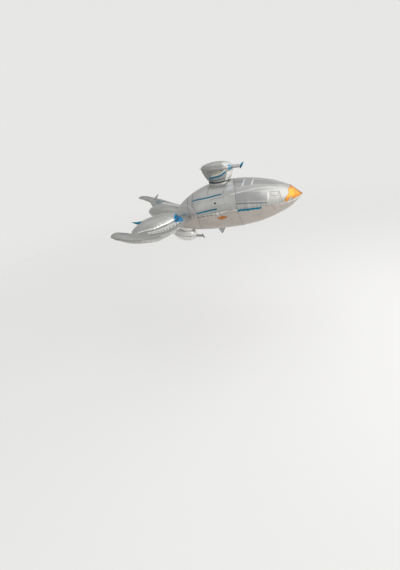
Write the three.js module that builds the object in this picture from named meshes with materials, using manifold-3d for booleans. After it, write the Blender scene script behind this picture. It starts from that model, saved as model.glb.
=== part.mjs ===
// Spaceship foil balloon: a pointed hull of three sealed foil panels with a gold nose, two long wings
// that curve out and back to a rounded tip, an engine pillow beside each wing, a tail pod, and one gun
// turret on the back and one on the belly.
// Millimetres. +X is the nose, +Z is up, +Y is the left side. The origin is on the hull's axis, under
// the upper turret, about where the gas lifts the balloon.

import * as THREE from "three";
import { mergeVertices } from "three/addons/utils/BufferGeometryUtils.js";
import Module from "manifold-3d";

const wasm = await Module();
wasm.setup();

// Construction
const SHELL = 10; // wall of the hull, the turrets and the tail pod
const GAP = 0.3; // between pieces that touch
const FLANGE = { width: 8, thickness: 2, sideAft: -196, keelAft: -222 }; // sealed strips along the seams

// Hull: widest at WAIST, round in section, its axis dropping towards the tail
const HULL_RADIUS = 169;
const NOSE_X = 574;
const WAIST_X = 60;
const TAIL_X = -360;
const TAIL_DROP = 64;
const NOSE_FULLNESS = 2.15; // exponents of the profile ahead of the waist
const NOSE_SHARPNESS = 0.76;
const NOSE_SLOPE = 0.88; // the tip is a cone, this much radius for each millimetre
const TAIL_SHARPNESS = 0.56;
const NOSE_CAP_X = 480; // where the gold begins
const POLE_WALL = { tail: 10, nose: 25 }; // solid length at the hull's ends
// The side seams are level here and sink towards both ends, this many degrees at each reach
const SEAM_DIP = { level: 60, foreReach: 380, foreDegrees: 12, aftReach: 320, aftDegrees: 5, most: 15 };

// Turrets: a teardrop rim, a dome over it and a bowl under it that stands on a round pad
const TURRET = {
  front: 104,
  back: 119,
  halfWidth: 75,
  footRadius: 66,
  padRadius: 70,
  padHeight: 42,
  backPoint: 0.9,
};
const BARREL = { radius: 13, length: 46, taper: 0.92 };
const MUZZLE = { length: 15, mouthRadius: 25, droop: 32, lift: 6 };
const TURRETS = {
  top: { side: 1, size: 1, x: 0, seat: 8, pitch: 2, bowlDepth: 87, domeHeight: 40, barrelRise: -4 },
  belly: {
    side: -1,
    size: 0.77,
    x: -279,
    seat: 12,
    pitch: -10,
    bowlDepth: 40,
    domeHeight: 46,
    barrelRise: 10,
  },
};

// Left wing from inside the hull to the tip: x, y, z of the middle, half width and half height
const WING = [
  [-262, 92, -30, 52, 14],
  [-382, 276, -44, 72, 17],
  [-480, 374, -41, 92, 21],
  [-551, 446, -19, 66, 22],
  [-625, 467, 11, 50, 19],
  [-668, 466, 24, 36, 14],
  [-688, 464, 25, 17, 7],
  [-693, 464, 23, 0, 0],
];
const WING_TILT = 6.6; // outer edge down

// Engine pillows, egg-shaped, swept back and out. The left one hangs a little lower.
const ENGINE = { front: 190, back: 168, halfWidth: 74, halfHeight: 58, frontPoint: 0.15 };
const ENGINE_SEAT = {
  left: { centre: new THREE.Vector3(-452, 212, -58), sweep: 38, pitch: 0 },
  right: { centre: new THREE.Vector3(-472, -204, -29), sweep: -32, pitch: 5 },
};

// Thin curved fin on the left wing
const FIN = { at: 0.44, foot: 34, height: 42, lean: 34, thickness: 3 };

// Tail pod on the hull's axis
const TAIL_POD = {
  front: -332,
  widest: -430,
  tip: -600,
  radius: 51,
  frontRadius: 42,
  endRadius: 16,
  z: -58,
};
const TAIL_TIP = { end: -677, lift: 18 };

// Fill tab under the keel
const TAB = { x: -20, width: 47, drop: 40, thickness: 3 };

// Facets
const FACETS = {
  hullLong: 22,
  hullRound: 12,
  rim: 24,
  dome: 5,
  bowl: 6,
  engine: 5,
  wingLong: 18,
  wingHalf: 6,
  tail: 9,
};

const COLOURS = {
  silver: 0xafaca6,
  taupe: 0xa59b91,
  gold: 0xf0a52d,
  teal: 0x146ea0,
  navy: 0x2a3440,
  pale: 0xd8d8d4,
};

const rad = THREE.MathUtils.degToRad;
const lerp = THREE.MathUtils.lerp;
const clamp = THREE.MathUtils.clamp;

function foil(colour, roughness = 0.28, metalness = 0.85) {
  return new THREE.MeshStandardMaterial({ color: colour, roughness, metalness });
}

function piece(name, geometry, colour) {
  const mesh = new THREE.Mesh(geometry, foil(colour));
  mesh.name = name;
  return mesh;
}

// One closed skin from a list of triangles: positions merged, collapsed triangles dropped, facing out.
function closedSkin(positions) {
  const loose = new THREE.BufferGeometry();
  loose.setAttribute("position", new THREE.Float32BufferAttribute(positions, 3));
  const merged = mergeVertices(loose, 1e-3);
  const at = merged.attributes.position;
  const corners = merged.index.array;
  const a = new THREE.Vector3();
  const b = new THREE.Vector3();
  const c = new THREE.Vector3();
  const kept = [];
  let volume = 0;
  for (let i = 0; i < corners.length; i += 3) {
    const [p, q, r] = corners.subarray(i, i + 3);
    if (p === q || q === r || r === p) continue;
    kept.push(p, q, r);
    const normal = b.fromBufferAttribute(at, q).cross(c.fromBufferAttribute(at, r));
    volume += a.fromBufferAttribute(at, p).dot(normal);
  }
  if (volume < 0) kept.reverse();
  merged.setIndex(kept);
  merged.computeVertexNormals();
  return merged;
}

// A box bent into shape. place(u, v, w) gives the point for each corner of its grid, u along, v around
// and w from the inner face to the outer one, each from 0 to 1. A box that goes all the way round has
// no end faces where it meets itself.
function bentBox(along, around, place, goesRound = false) {
  const box = new THREE.BoxGeometry(1, 1, 1, along, around, 1).toNonIndexed();
  const at = box.attributes.position;
  const positions = [];
  for (let i = 0; i < at.count; i += 3) {
    const corners = [i, i + 1, i + 2].map((k) => [at.getX(k) + 0.5, at.getY(k) + 0.5, at.getZ(k) + 0.5]);
    const onSeam = corners.every((q) => q[1] < 1e-6) || corners.every((q) => q[1] > 1 - 1e-6);
    if (goesRound && onSeam) continue;
    for (const [u, v, w] of corners) {
      const turned = goesRound && v > 1 - 1e-6 ? 0 : v;
      positions.push(...place(u, turned, w).toArray());
    }
  }
  return closedSkin(positions);
}

function toSolid(geometry) {
  return new wasm.Manifold(
    new wasm.Mesh({
      numProp: 3,
      vertProperties: geometry.attributes.position.array,
      triVerts: new Uint32Array(geometry.index.array),
    }),
  );
}

function fromSolid(solid) {
  const mesh = solid.getMesh();
  const geometry = new THREE.BufferGeometry();
  geometry.setAttribute("position", new THREE.BufferAttribute(mesh.vertProperties, 3));
  geometry.setIndex(new THREE.BufferAttribute(mesh.triVerts, 1));
  geometry.computeVertexNormals();
  return geometry;
}

// A geometry less the space that its neighbours take. Thin offcuts beside the main body are dropped.
function cutBy(geometry, ...neighbours) {
  const left = neighbours.reduce((solid, other) => solid.subtract(toSolid(other)), toSolid(geometry));
  const bodies = left.decompose().sort((a, b) => b.volume() - a.volume());
  return fromSolid(bodies[0]);
}

// A closed geometry with its vertices merged by place alone.
function plain(geometry) {
  const loose = geometry.index ? geometry.toNonIndexed() : geometry;
  return closedSkin(loose.attributes.position.array);
}

// Hull

function hullRadius(x) {
  if (x > WAIST_X) {
    const t = Math.min((x - WAIST_X) / (NOSE_X - WAIST_X), 1);
    const body = HULL_RADIUS * (1 - t ** NOSE_FULLNESS) ** NOSE_SHARPNESS;
    return Math.min(body, (NOSE_X - x) * NOSE_SLOPE);
  }
  const t = Math.min((WAIST_X - x) / (WAIST_X - TAIL_X), 1);
  return HULL_RADIUS * (1 - t ** 2) ** TAIL_SHARPNESS;
}

function hullAxis(x) {
  const t = clamp((WAIST_X - x) / (WAIST_X - TAIL_X), 0, 1);
  return -TAIL_DROP * t ** 2;
}

// Stations closer together at the two ends, where the profile turns.
function hullStation(u) {
  return lerp(TAIL_X, NOSE_X, (1 - Math.cos(Math.PI * u)) / 2);
}

const stations = Array.from({ length: FACETS.hullLong + 1 }, (_, i) => hullStation(i / FACETS.hullLong));
const capStation = stations.findIndex((x) => x > NOSE_CAP_X);
stations[capStation] = NOSE_CAP_X;

function hullPoint(x, angle, radius) {
  return new THREE.Vector3(x, radius * Math.cos(angle), hullAxis(x) + radius * Math.sin(angle));
}

// Angle of the left side seam at x, from level. The right one mirrors it.
function seamAngle(x) {
  const off = x - SEAM_DIP.level;
  const fore = SEAM_DIP.foreDegrees * (off / SEAM_DIP.foreReach) ** 2;
  const aft = SEAM_DIP.aftDegrees * (off / SEAM_DIP.aftReach) ** 2;
  return -rad(Math.min(off > 0 ? fore : aft, SEAM_DIP.most));
}

const SEAMS = {
  left: seamAngle,
  right: (x) => Math.PI - seamAngle(x),
  keelLeft: () => -Math.PI / 2,
  keelRight: () => 1.5 * Math.PI,
};

// A panel of the hull between two stations and two seams, pushed off its seams by half a gap.
function hullPanel(first, last, from, to, push, trim = [0, 0]) {
  const count = last - first;
  const round = from === SEAMS.left ? FACETS.hullRound : FACETS.hullRound / 2;
  const innerEnds = [TAIL_X + POLE_WALL.tail, NOSE_X - POLE_WALL.nose];
  return bentBox(count, round, (u, v, w) => {
    const i = first + Math.round(u * count);
    const trimmed = stations[i] + (i === first ? trim[0] : 0) + (i === last ? trim[1] : 0);
    const inner = clamp(trimmed, ...innerEnds);
    const atPole = i === 0 || i === FACETS.hullLong;
    const x = w > 0.5 ? trimmed : inner;
    const radius = atPole ? 0 : hullRadius(x) - (w > 0.5 ? 0 : SHELL);
    return hullPoint(x, lerp(from(x), to(x), v), Math.max(radius, 0)).add(push);
  });
}

// Angle around the whole hull at x, with the same facets as the panels: upper, lower right, lower left.
function ringAngle(x, v) {
  const left = SEAMS.left(x);
  const right = SEAMS.right(x);
  const keel = SEAMS.keelRight();
  if (v <= 0.5) return lerp(left, right, v * 2);
  if (v <= 0.75) return lerp(right, keel, (v - 0.5) * 4);
  return lerp(keel, 2 * Math.PI + left, (v - 0.75) * 4);
}

// The hull as one solid, grown by the gap, for cutting what stands on it.
function hullGrown() {
  const steps = FACETS.hullLong;
  const profile = stations.map((x, i) => [x, i === 0 || i === steps ? 0 : hullRadius(x) + GAP]);
  return bentBox(steps, FACETS.hullRound * 2, (u, v, w) => {
    const [x, radius] = profile[Math.round(u * steps)];
    return hullPoint(x, ringAngle(x, v), w > 0.5 ? radius : 0);
  }, true);
}

// A flat strip that stands out from the hull along a seam, from near the nose back to where a pad sits.
function seamStrip(seam, aft) {
  const first = stations.findIndex((x) => x > aft);
  const last = FACETS.hullLong - 2;
  const count = last - first;
  return bentBox(count, 1, (u, v, w) => {
    const x = stations[first + Math.round(u * count)];
    const angle = seam(x);
    const out = hullPoint(x, angle, hullRadius(x) + 1.5 * GAP + v * FLANGE.width);
    const side = (w - 0.5) * FLANGE.thickness;
    return out.add(new THREE.Vector3(0, -side * Math.sin(angle), side * Math.cos(angle)));
  });
}

function hull() {
  const group = new THREE.Group();
  const half = GAP / 2;
  const last = FACETS.hullLong;
  const up = new THREE.Vector3(0, 0, half);
  const downLeft = new THREE.Vector3(0, half, -half);
  const downRight = new THREE.Vector3(0, -half, -half);
  group.add(
    piece("hull_upper", hullPanel(0, capStation, SEAMS.left, SEAMS.right, up, [0, -half]), COLOURS.silver),
    piece("nose_cap", hullPanel(capStation, last, SEAMS.left, SEAMS.right, up, [half, 0]), COLOURS.gold),
    piece("hull_lower_left", hullPanel(0, last, SEAMS.keelLeft, SEAMS.left, downLeft), COLOURS.taupe),
    piece("hull_lower_right", hullPanel(0, last, SEAMS.right, SEAMS.keelRight, downRight), COLOURS.taupe),
    piece("seam_left", seamStrip(SEAMS.left, FLANGE.sideAft), COLOURS.pale),
    piece("seam_right", seamStrip(SEAMS.right, FLANGE.sideAft), COLOURS.pale),
    piece("seam_keel", seamStrip(SEAMS.keelLeft, FLANGE.keelAft), COLOURS.pale),
  );
  return group;
}

// Pillows

// A point of an egg or teardrop outline. point is how much the back or the front narrows to a tip.
function outline(shape, angle, inset) {
  const along = Math.cos(angle);
  const across = Math.sin(angle);
  const reach = (along > 0 ? shape.front : shape.back) - inset;
  const point = along > 0 ? shape.frontPoint : shape.backPoint;
  const narrowing = 1 + (point ?? 0) * Math.abs(along);
  const width = (shape.halfWidth - inset) * Math.sign(across) * Math.abs(across) ** narrowing;
  return new THREE.Vector2(reach * along, width);
}

function domePoint(shape, height, u, v, inset, base) {
  const turn = (u * Math.PI) / 2;
  const edge = outline(shape, 2 * Math.PI * v, inset).multiplyScalar(Math.sin(turn));
  return new THREE.Vector3(edge.x, edge.y, (height - inset) * Math.cos(turn) + base);
}

// A dome shell over the outline, standing half a gap off the seam's plane.
function domeShell(shape, height, rings) {
  return bentBox(rings, FACETS.rim, (u, v, w) => {
    const inset = w > 0.5 ? 0 : SHELL;
    return domePoint(shape, height, u, v, inset, GAP / 2);
  }, true);
}

// The same dome filled. grow pushes its surface out, for cutting what meets it.
function domeSolid(shape, height, rings, grow = 0) {
  const base = grow > 0 ? 0 : GAP / 2;
  const centre = new THREE.Vector3(0, 0, base);
  return bentBox(rings, FACETS.rim, (u, v, w) => {
    return w > 0.5 ? domePoint(shape, height, u, v, -grow, base) : centre;
  }, true);
}

// Turrets

// A point of the bowl: a flat foot, then a wall that swells out to the rim.
function bowlPoint(rim, spec, u, v, inset) {
  const angle = 2 * Math.PI * v;
  const footShare = 1 / FACETS.bowl;
  const foot = TURRET.footRadius * spec.size - inset;
  const base = new THREE.Vector2(Math.cos(angle), Math.sin(angle)).multiplyScalar(foot);
  if (u <= footShare + 1e-6) {
    base.multiplyScalar(u / footShare);
    return new THREE.Vector3(base.x, base.y, inset);
  }
  const turn = (((u - footShare) / (1 - footShare)) * Math.PI) / 2;
  const edge = base.lerp(outline(rim, angle, inset), Math.sin(turn));
  const rise = (spec.bowlDepth - inset) * (1 - Math.cos(turn));
  return new THREE.Vector3(edge.x, edge.y, inset + rise);
}

function bowl(rim, spec) {
  return bentBox(FACETS.bowl, FACETS.rim, (u, v, w) => {
    return bowlPoint(rim, spec, u, v, w > 0.5 ? 0 : SHELL);
  }, true);
}

// The bowl as a solid grown by the gap.
function grownBowl(rim, spec) {
  const centre = new THREE.Vector3(0, 0, spec.bowlDepth);
  return bentBox(FACETS.bowl, FACETS.rim, (u, v, w) => {
    return w > 0.5 ? bowlPoint(rim, spec, u, v, -GAP) : centre;
  }, true);
}

// A straight barrel with closed ends, its axis along +X from the origin.
function barrel(radius, length) {
  const profile = [
    [0, 0],
    [radius, 0],
    [radius * BARREL.taper, length],
    [0, length],
  ].map(([r, y]) => new THREE.Vector2(r, y));
  return plain(new THREE.LatheGeometry(profile, 16)).rotateZ(-Math.PI / 2);
}

// The flared mouth of the barrel, hollow at the front.
function muzzle(size) {
  const { length, mouthRadius } = MUZZLE;
  const neck = BARREL.radius * BARREL.taper;
  const profile = [
    [0, 0],
    [neck, 0],
    [neck * 1.15, length * 0.45],
    [mouthRadius, length],
    [mouthRadius - 5, length],
    [neck * 0.8, length * 0.55],
    [0, length * 0.5],
  ].map(([r, y]) => new THREE.Vector2(r * size, y * size));
  return plain(new THREE.LatheGeometry(profile, 16)).rotateZ(-Math.PI / 2);
}

function turret(place, hullSolid) {
  const name = place + "_turret";
  const spec = TURRETS[place];
  const { side, size, bowlDepth, domeHeight } = spec;
  const rim = {
    front: TURRET.front * size,
    back: TURRET.back * size,
    halfWidth: TURRET.halfWidth * size,
    backPoint: TURRET.backPoint,
  };
  const group = new THREE.Group();
  group.position.set(spec.x, 0, hullAxis(spec.x) + side * (hullRadius(spec.x) + spec.seat));
  group.rotation.set(side < 0 ? Math.PI : 0, rad(spec.pitch), 0);
  group.updateMatrixWorld(true);

  const body = piece(name + "_bowl", bowl(rim, spec), COLOURS.silver);
  const cover = piece(name + "_dome", domeShell(rim, domeHeight, FACETS.dome), COLOURS.silver);
  cover.position.z = bowlDepth + GAP / 2;

  const padRadius = TURRET.padRadius * size;
  const padHeight = TURRET.padHeight * size;
  const disc = new THREE.CylinderGeometry(padRadius, padRadius, padHeight, 32);
  disc.rotateX(Math.PI / 2).translate(0, 0, -GAP - padHeight / 2);
  const seat = hullSolid.clone().applyMatrix4(group.matrixWorld.clone().invert());
  const pad = piece(name + "_pad", cutBy(plain(disc), seat), COLOURS.navy);

  const gunHeight = bowlDepth + spec.barrelRise;
  const tube = barrel(BARREL.radius * size, (BARREL.length + 2 * SHELL) * size);
  tube.translate(rim.front - 2 * SHELL * size, 0, gunHeight);
  const domeSpace = domeSolid(rim, domeHeight, FACETS.dome, GAP).translate(0, 0, bowlDepth);
  const gun = piece(name + "_barrel", cutBy(tube, domeSpace, grownBowl(rim, spec)), COLOURS.pale);

  const mouth = piece(name + "_muzzle", muzzle(size), COLOURS.teal);
  const turnRoom = BARREL.radius * BARREL.taper * size * Math.sin(rad(MUZZLE.droop)) + GAP;
  mouth.position.set(rim.front + BARREL.length * size + turnRoom, 0, gunHeight + MUZZLE.lift * size);
  mouth.rotation.y = rad(MUZZLE.droop);
  group.add(body, cover, pad, gun, mouth);
  return group;
}

// Wings and engines. side is 1 on the left and -1 on the right.

const wingSpine = new THREE.CatmullRomCurve3(
  WING.map(([x, y, z]) => new THREE.Vector3(x, y, z)),
  false,
  "catmullrom",
);
const wingSize = new THREE.CatmullRomCurve3(
  WING.map(([, , , halfWidth, halfHeight]) => new THREE.Vector3(halfWidth, halfHeight, 0)),
  false,
  "catmullrom",
);

// A point of the left wing's section: at along the spine, angle around it from the outer edge over the
// top, reach from 0 on the spine to 1 on the surface, grown outwards by grow.
function wingPoint(at, angle, reach, grow = 0) {
  const along = wingSpine.getTangent(Math.min(at, 0.99));
  const across = new THREE.Vector3(-along.y, along.x, 0).normalize().negate();
  const up = new THREE.Vector3().crossVectors(across, along).normalize();
  across.applyAxisAngle(along, rad(WING_TILT));
  up.applyAxisAngle(along, rad(WING_TILT));
  const { x: halfWidth, y: halfHeight } = wingSize.getPoint(at);
  const width = at > 0.999 ? grow : Math.max(halfWidth, 0) + grow;
  const height = at > 0.999 ? grow : Math.max(halfHeight, 0) + grow;
  return wingSpine
    .getPoint(at)
    .addScaledVector(across, reach * width * Math.cos(angle))
    .addScaledVector(up, reach * height * Math.sin(angle));
}

// Upper or lower half of a wing, filled, standing half a gap off the seam.
function wingHalf(side, up, grow = 0) {
  const base = grow > 0 ? 0 : (up * GAP) / 2;
  return bentBox(FACETS.wingLong, FACETS.wingHalf, (u, v, w) => {
    const point = wingPoint(u, up * Math.PI * v, w, grow);
    return new THREE.Vector3(point.x, side * point.y, point.z + base);
  });
}

function engineHalf(up, grow = 0) {
  const half = domeSolid(ENGINE, ENGINE.halfHeight, FACETS.engine, grow);
  return up > 0 ? half : half.rotateX(Math.PI);
}

function wingSide(side, hullSolid) {
  const word = side > 0 ? "left" : "right";
  const group = new THREE.Group();

  const engine = new THREE.Group();
  const seat = ENGINE_SEAT[word];
  engine.position.copy(seat.centre);
  engine.rotation.set(0, -rad(seat.pitch), -rad(seat.sweep), "ZYX");
  engine.add(
    piece("engine_" + word + "_upper", engineHalf(1), COLOURS.silver),
    piece("engine_" + word + "_lower", engineHalf(-1), COLOURS.taupe),
  );
  engine.updateMatrixWorld(true);
  const engineSpace = [1, -1].map((up) => engineHalf(up, GAP).applyMatrix4(engine.matrixWorld));
  group.add(
    engine,
    piece("wing_" + word + "_upper", cutBy(wingHalf(side, 1), hullSolid, ...engineSpace), COLOURS.silver),
    piece("wing_" + word + "_lower", cutBy(wingHalf(side, -1), hullSolid, ...engineSpace), COLOURS.taupe),
  );
  if (side > 0) {
    const blade = flatTab(FIN.foot, FIN.height, FIN.lean, FIN.thickness);
    const foot = wingPoint(FIN.at, Math.PI / 2, 0.8);
    blade.translate(foot.x, foot.y, foot.z);
    group.add(piece("wing_fin_left", cutBy(blade, wingHalf(side, 1, GAP)), COLOURS.silver));
  }
  return group;
}

// Tail

function tailRadius(x) {
  if (x > TAIL_POD.widest) {
    const t = (x - TAIL_POD.widest) / (TAIL_POD.front - TAIL_POD.widest);
    return lerp(TAIL_POD.radius, TAIL_POD.frontRadius, t ** 2);
  }
  const t = (TAIL_POD.widest - x) / (TAIL_POD.widest - TAIL_POD.tip);
  return lerp(TAIL_POD.radius, TAIL_POD.endRadius, t ** 1.5);
}

function tailHalf(hullSolid, sign) {
  const shell = bentBox(FACETS.tail, 8, (u, v, w) => {
    const x = lerp(TAIL_POD.tip + GAP, TAIL_POD.front, u);
    const radius = tailRadius(x) - (w > 0.5 ? 0 : SHELL);
    const angle = Math.PI * v;
    const z = TAIL_POD.z + sign * (radius * Math.sin(angle) + GAP / 2);
    return new THREE.Vector3(x, radius * Math.cos(angle), z);
  });
  return cutBy(shell, hullSolid);
}

function tail(hullSolid) {
  const group = new THREE.Group();
  const rows = 6;
  const tip = bentBox(rows, 16, (u, v, w) => {
    const radius = TAIL_POD.endRadius * (1 - u) ** 0.8 * w;
    const angle = 2 * Math.PI * v;
    const x = lerp(TAIL_POD.tip, TAIL_TIP.end, u);
    const z = TAIL_POD.z + TAIL_TIP.lift * u ** 2 + radius * Math.sin(angle);
    return new THREE.Vector3(x, radius * Math.cos(angle), z);
  }, true);
  group.add(
    piece("tail_pod_upper", tailHalf(hullSolid, 1), COLOURS.silver),
    piece("tail_pod_lower", tailHalf(hullSolid, -1), COLOURS.taupe),
    piece("tail_tip", tip, COLOURS.teal),
  );
  return group;
}

// Flat sealed tabs

// A thin triangle standing on its foot, which lies along X with its middle at the origin.
function flatTab(foot, height, lean, thickness) {
  const shape = new THREE.Shape();
  shape.moveTo(-foot / 2, 0);
  shape.lineTo(foot / 2, 0);
  shape.lineTo(lean, height);
  shape.closePath();
  const slab = new THREE.ExtrudeGeometry(shape, { depth: thickness, bevelEnabled: false });
  return plain(slab.translate(0, 0, -thickness / 2).rotateX(Math.PI / 2));
}

function fillTab() {
  const front = TAB.x + TAB.width / 2;
  const keel = hullAxis(front) - hullRadius(front) - FLANGE.width - 2.5 * GAP;
  const tab = piece("fill_tab", flatTab(TAB.width, TAB.drop, 0, TAB.thickness), COLOURS.pale);
  tab.rotation.x = Math.PI;
  tab.position.set(TAB.x, 0, keel);
  return tab;
}

const balloon = new THREE.Group();
const hullSolid = hullGrown();
balloon.add(hull(), fillTab(), tail(hullSolid));
for (const place of ["top", "belly"]) balloon.add(turret(place, hullSolid));
for (const side of [1, -1]) balloon.add(wingSide(side, hullSolid));

export default balloon;
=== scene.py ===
"""Spaceship foil balloon: the film panels with their sealed, gathered seams, the prints and the stage."""

import math

import bpy
import numpy as np
from bpy.props import FloatProperty, FloatVectorProperty, PointerProperty
from mathutils import Euler, Matrix, Vector


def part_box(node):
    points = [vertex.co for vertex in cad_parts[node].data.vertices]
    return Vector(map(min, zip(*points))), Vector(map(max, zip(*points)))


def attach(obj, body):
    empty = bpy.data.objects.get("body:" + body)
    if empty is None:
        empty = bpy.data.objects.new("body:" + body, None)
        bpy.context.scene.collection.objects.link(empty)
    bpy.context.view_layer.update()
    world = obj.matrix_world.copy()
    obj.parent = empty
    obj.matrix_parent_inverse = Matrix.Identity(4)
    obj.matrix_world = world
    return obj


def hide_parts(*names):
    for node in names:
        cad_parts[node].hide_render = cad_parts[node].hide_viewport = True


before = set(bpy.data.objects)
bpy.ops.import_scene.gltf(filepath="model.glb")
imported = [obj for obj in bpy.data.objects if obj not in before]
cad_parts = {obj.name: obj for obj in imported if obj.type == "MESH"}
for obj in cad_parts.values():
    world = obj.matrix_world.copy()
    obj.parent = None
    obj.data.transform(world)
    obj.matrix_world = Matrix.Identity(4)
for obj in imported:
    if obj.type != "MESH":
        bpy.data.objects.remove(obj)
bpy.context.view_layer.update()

bl_info = {
    "name": "Spaceship Foil Balloon",
    "version": (1, 0, 0),
    "blender": (4, 5, 0),
    "location": "3D View > Sidebar > Balloon",
    "description": "Builds the film panels, seams and prints of a spaceship foil balloon",
    "category": "Add Mesh",
}

# Metres and degrees, in the part's own frame: +X is the nose, +Z is up, +Y is the left side.

# Hull: widest at WAIST_X, round in section, its axis dropping towards the tail
NOSE_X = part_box("nose_cap")[1][0]
CAP_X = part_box("nose_cap")[0][0]
TAIL_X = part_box("hull_upper")[0][0]
WAIST_X = 0.06
HULL_RADIUS = 0.169
TAIL_DROP = 0.064
WAVE = 0.0008
NOSE_FULLNESS = 2.15
NOSE_SHARPNESS = 0.76
NOSE_SLOPE = 0.88
TAIL_SHARPNESS = 0.56
SEAM_LEVEL_X = 0.06
SEAM_REACH = {"fore": 0.38, "aft": 0.32}
SEAM_SINK = {"fore": 12, "aft": 5}
SEAM_SINK_MOST = 15
SIDE_SEAM_AFT = -0.2
KEEL_SEAM_AFT = -0.226
HULL_CENTRE = (0.1, 0, -0.01)
HULL_GATHERS_FADE = 0.08

# Turrets, at full size
TURRET = {"front": 0.104, "back": 0.119, "half_width": 0.075, "foot": 0.066, "back_point": 0.9}
BOWL_STRAIGHT = 0.3
PAD = {"radius": 0.07, "height": 0.042, "segments": 64, "sharp": 40}
BARREL = {"radius": 0.013, "length": 0.046, "taper": 0.92, "segments": 36, "sharp": 50}
MUZZLE = {"length": 0.015, "mouth": 0.025, "droop": 32, "lift": 0.006, "segments": 44, "sharp": 50}
TURRETS = {
    # On the top bowl the darker shade ink is painted shade under the dome's rim.
    "top": {"side": 1, "size": 1, "x": 0, "seat": 0.008, "pitch": 2, "seed": 91,
            "bowl": 0.087, "dome": 0.04, "barrel_rise": -0.004, "dome_ink": "silver", "ink": "shade",
            "barrel_ink": "sheen", "mouth_ink": "azure", "pad_ink": "silver", "foot_line": 0.007},
    # The belly turret's bowl, dome, rim and pad take the light ink: painted light, paler than their film,
    # for the bright reflections they show in the hull's shade.
    "belly": {"side": -1, "size": 0.77, "x": -0.279, "seat": 0.012, "pitch": -10, "seed": 97,
              "bowl": 0.04, "dome": 0.046, "barrel_rise": 0.01, "dome_ink": "light", "ink": "light",
              "barrel_ink": "taupe", "mouth_ink": "slate", "pad_ink": "light", "foot_line": 0.003},
}

# Left wing: x, y, z of the middle, half width, half height
WING = np.array([
    (-0.262, 0.092, -0.030, 0.052, 0.014),
    (-0.382, 0.276, -0.044, 0.072, 0.017),
    (-0.480, 0.374, -0.041, 0.092, 0.021),
    (-0.551, 0.446, -0.019, 0.066, 0.022),
    (-0.625, 0.467, 0.011, 0.050, 0.019),
    (-0.668, 0.466, 0.024, 0.036, 0.014),
    (-0.688, 0.464, 0.025, 0.017, 0.007),
    (-0.693, 0.464, 0.023, 0.000, 0.000),
])
WINGS = {"left": {"side": 1, "seed": 71}, "right": {"side": -1, "seed": 81}}
WING_TILT = 6.6
WING_LENGTH = 0.75
WING_GATHERS_FADE = 0.05
FIN = {"at": 0.44, "foot": 0.034, "height": 0.042, "lean": 0.034, "thickness": 0.0016}

# Engine pillows, and how far the wings' upper and lower halves and the ink on them stay clear of them
ENGINE = {"front": 0.19, "back": 0.168, "half_width": 0.074, "half_height": 0.058, "front_point": 0.15}
ENGINES = {
    "left": {"centre": (-0.452, 0.212, -0.058), "sweep": 38, "pitch": 0, "seed": 51, "rim_seed": 300},
    "right": {"centre": (-0.472, -0.204, -0.029), "sweep": -32, "pitch": 5, "seed": 61,
              "rim_seed": 310},
}
ENGINE_CLEAR = {1: 1.014, -1: 1.004}
CLEAR_BY_LIFT = 15
HALF_SLOTS = {"upper": "foil_silver", "lower": "foil_taupe"}

# Tail pod on the hull's axis
TAIL = {"front": -0.332, "widest": -0.43, "tip": -0.6, "radius": 0.051,
        "front_radius": 0.042, "end_radius": 0.016, "z": -0.058}
TAIL_TIP = {"end": -0.677, "lift": 0.018, "creases": 11, "depth": 0.05}

# Film
FILM = 0.0005
TAB_THICKNESS = 0.0012
TAB_EDGE = ((0.46, 0.02), (0.44, 0.5), (0.36, 0.9), (0, 0.985))
TAB_EDGE_WIDTH = 0.0035
PRINT_LIFT = 0.0004
CELL = 0.003
WELD = 0.00001
SEAM_TUCK = 0.001
SEAM_WIDTH = 0.007
KEEL_SEAM_WIDTH = 0.011
SEAM_SHORT = 0.004
SEAM_SWAY = 0.16
RIM_WIDTH = 0.005
THIN_RIM_WIDTH = 0.004
TURRET_LIP = 2.2
LIP_SPREAD = 0.045
WING_RIM_REACH = (0.12, 1.38)

# Cells of the sheets of film, along and across, and the seeds of their random draws
HULL_CELLS = {"body": 350, "nose": 64, "upper": 64, "lower": 34}
CELLS = {"engine": (220, 30), "wing": (260, 26), "fin": (20, 24), "tail": (130, 40), "tail_tip": (40, 48),
         "bowl": (190, 34), "dome": (190, 26), "foot_line": (96, 3), "fill_tab": (28, 28),
         "hull_seam": (260, 3), "rim": (160, 3), "wing_rim": (240, 3)}
SEEDS = {"seam_right": 5, "seam_left": 6, "seam_keel": 7, "right_gathers": 11, "left_gathers": 23,
         "keel_gathers": 37, "tail_gathers": 41, "wing_rim": 320, "dome_rim": 330}

# Gathers along the seams: pitch, depth and reach of the broad ones, then of the finer ones
SIDE_GATHERS = ((0.021, 0.0037, 0.036), (0.0085, 0.0015, 0.012))
KEEL_GATHERS = ((0.021, 0.0042, 0.04), (0.009, 0.0016, 0.013), (0.024, 0.0022, 0.12))
TAIL_GATHERS = ((0.016, 0.0026, 0.024),)
ENGINE_GATHERS = {1: ((0.02, 0.0019, 0.03), (0.009, 0.00076, 0.013)),
                  -1: ((0.02, 0.0042, 0.045), (0.009, 0.00168, 0.013))}
WING_GATHERS = ((0.019, 0.0034, 0.034), (0.0085, 0.0013, 0.012))
TURRET_GATHERS = ((0.014, 0.0026, 0.022), (0.007, 0.001, 0.01))
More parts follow.
